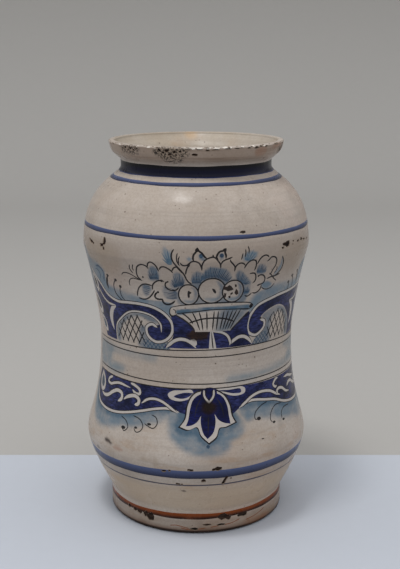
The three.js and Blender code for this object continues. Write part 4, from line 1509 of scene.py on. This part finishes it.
def clay_material():
    """Low-fired earthenware: pink-brown, open-grained and grimy where it has stood, with painted shade there
    too.
    """
    n = Nodes("bare_earthenware")
    grain = n.noise(240, 5, 0.7)
    patches = n.noise(40, 3, 0.6)
    base = n.mix(n.between(patches, 0.35, 0.65), colour(50, 33, 25), colour(78, 54, 40))
    # Darker towards the table: partly grime, partly painted shade where the foot stands
    base = n.mix(n.between(n.height(), 0.004, 0.001, 0.0, 0.75), base, colour(22, 15, 12))
    grit = n.between(grain, 0.5, 0.7)
    base = n.tint(base, colour(40, 30, 25), grit, 0.6)
    n.bump((grain, 0.0003))
    return n.finish(base, n.between(grain, 0.3, 0.7, 0.8, 0.98))


# Stage, camera and light

CAMERA_DISTANCE = 0.748  # metres in front of the jar's axis
CAMERA_HEIGHT = 0.338
CAMERA_PITCH = 0.2274  # radians downwards
FOCAL_PIXELS = 1060.7  # focal length, in pixels of the photo
PHOTO_WIDTH, PHOTO_HEIGHT = 400, 569
AXIS_PIXEL = 196.1  # column of the photo that the jar's axis stands in
CLOTH_BACK_EDGE = 0.082  # metres behind the axis
STAGE_REACH = 2.5  # how far the cloth and the sweep go forwards, to each side and up


def plain_material(name, tone):
    """One tone with a faint grain."""
    n = Nodes(name)
    grain = n.noise(90, 3, 0.6)
    return n.finish(n.tint(tone, colour(120, 120, 120), grain, 0.06), 0.9)


def stage():
    """A white cloth in front and a pale grey sweep behind, both plain."""
    sweep_radius = 0.5
    far = 1.4
    steps = 12
    profile = [(CLOTH_BACK_EDGE, 0.0), (far, 0.0)]
    for i in range(1, steps + 1):
        angle = math.pi / 2 * i / steps
        profile.append((far + sweep_radius * math.sin(angle), sweep_radius * (1 - math.cos(angle))))
    profile.append((far + sweep_radius, STAGE_REACH))
    for name, line, tone in (("cloth", [(-STAGE_REACH, 0.0), (CLOTH_BACK_EDGE, 0.0)], colour(182, 186, 193)),
                             ("sweep", profile, colour(168, 165, 160))):
        points = [(x, y, z) for y, z in line for x in (-STAGE_REACH, STAGE_REACH)]
        faces = [(2 * i, 2 * i + 1, 2 * i + 3, 2 * i + 2) for i in range(len(line) - 1)]
        mesh = bpy.data.meshes.new(name)
        mesh.from_pydata(points, [], faces)
        mesh.shade_smooth()
        screen = bpy.data.objects.new(name, mesh)
        bpy.context.scene.collection.objects.link(screen)
        mesh.materials.append(plain_material(name, tone))


def camera():
    """The photo's view, worked out from the jar's size in it."""
    data = bpy.data.cameras.new("camera")
    data.sensor_width = 36
    data.lens = FOCAL_PIXELS / PHOTO_HEIGHT * data.sensor_width
    data.shift_x = (PHOTO_WIDTH / 2 - AXIS_PIXEL) / PHOTO_HEIGHT
    eye = bpy.data.objects.new("camera", data)
    eye.location = (0, -CAMERA_DISTANCE, CAMERA_HEIGHT)
    eye.rotation_euler = (math.pi / 2 - CAMERA_PITCH, 0, 0)
    bpy.context.scene.collection.objects.link(eye)
    bpy.context.scene.camera = eye


def soft_light(name, direction, distance, size, power):
    """A square lamp that faces the middle of the jar."""
    aim = 0.14
    data = bpy.data.lights.new(name, "AREA")
    data.size = size
    data.energy = power
    lamp = bpy.data.objects.new(name, data)
    towards = Vector(direction).normalized()
    lamp.location = Vector((0, 0, aim)) + distance * towards
    lamp.rotation_euler = towards.to_track_quat("Z", "Y").to_euler()
    bpy.context.scene.collection.objects.link(lamp)


def light():
    """One soft lamp high in front on the left, in a pale room that is brighter overhead."""
    soft_light("window", (-0.17, -0.27, 0.95), 1.5, 0.29, 8)
    world = bpy.data.worlds.new("room")
    world.use_nodes = True
    tree = world.node_tree
    background = tree.nodes["Background"]
    background.inputs["Color"].default_value = colour(246, 248, 252)
    place = tree.nodes.new("ShaderNodeTexCoord")
    parts = tree.nodes.new("ShaderNodeSeparateXYZ")
    height = tree.nodes.new("ShaderNodeMapRange")
    upwards = {"From Min": -0.2, "From Max": 0.9}
    brightness = {"To Min": 0.36, "To Max": 1.25}
    for name, value in {**upwards, **brightness}.items():
        height.inputs[name].default_value = value
    tree.links.new(place.outputs["Generated"], parts.inputs[0])
    tree.links.new(parts.outputs["Z"], height.inputs["Value"])
    tree.links.new(height.outputs[0], background.inputs["Strength"])
    bpy.context.scene.world = world


def dress():
    """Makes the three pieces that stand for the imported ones."""
    pieces = (
        (painted_glaze(), "outer_glaze", "painted_glaze", painted_material()),
        (lining(), "inner_glaze", "lining_glaze", lining_material()),
        (clay_pot(), "earthenware_body", "earthenware", clay_material()),
    )
    for piece, node, slot, material in pieces:
        piece.data.materials.append(material)
        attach(piece, "root")
        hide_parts(node)


camera()
light()
stage()
dress()
bpy.context.scene.view_settings.view_transform = "Standard"
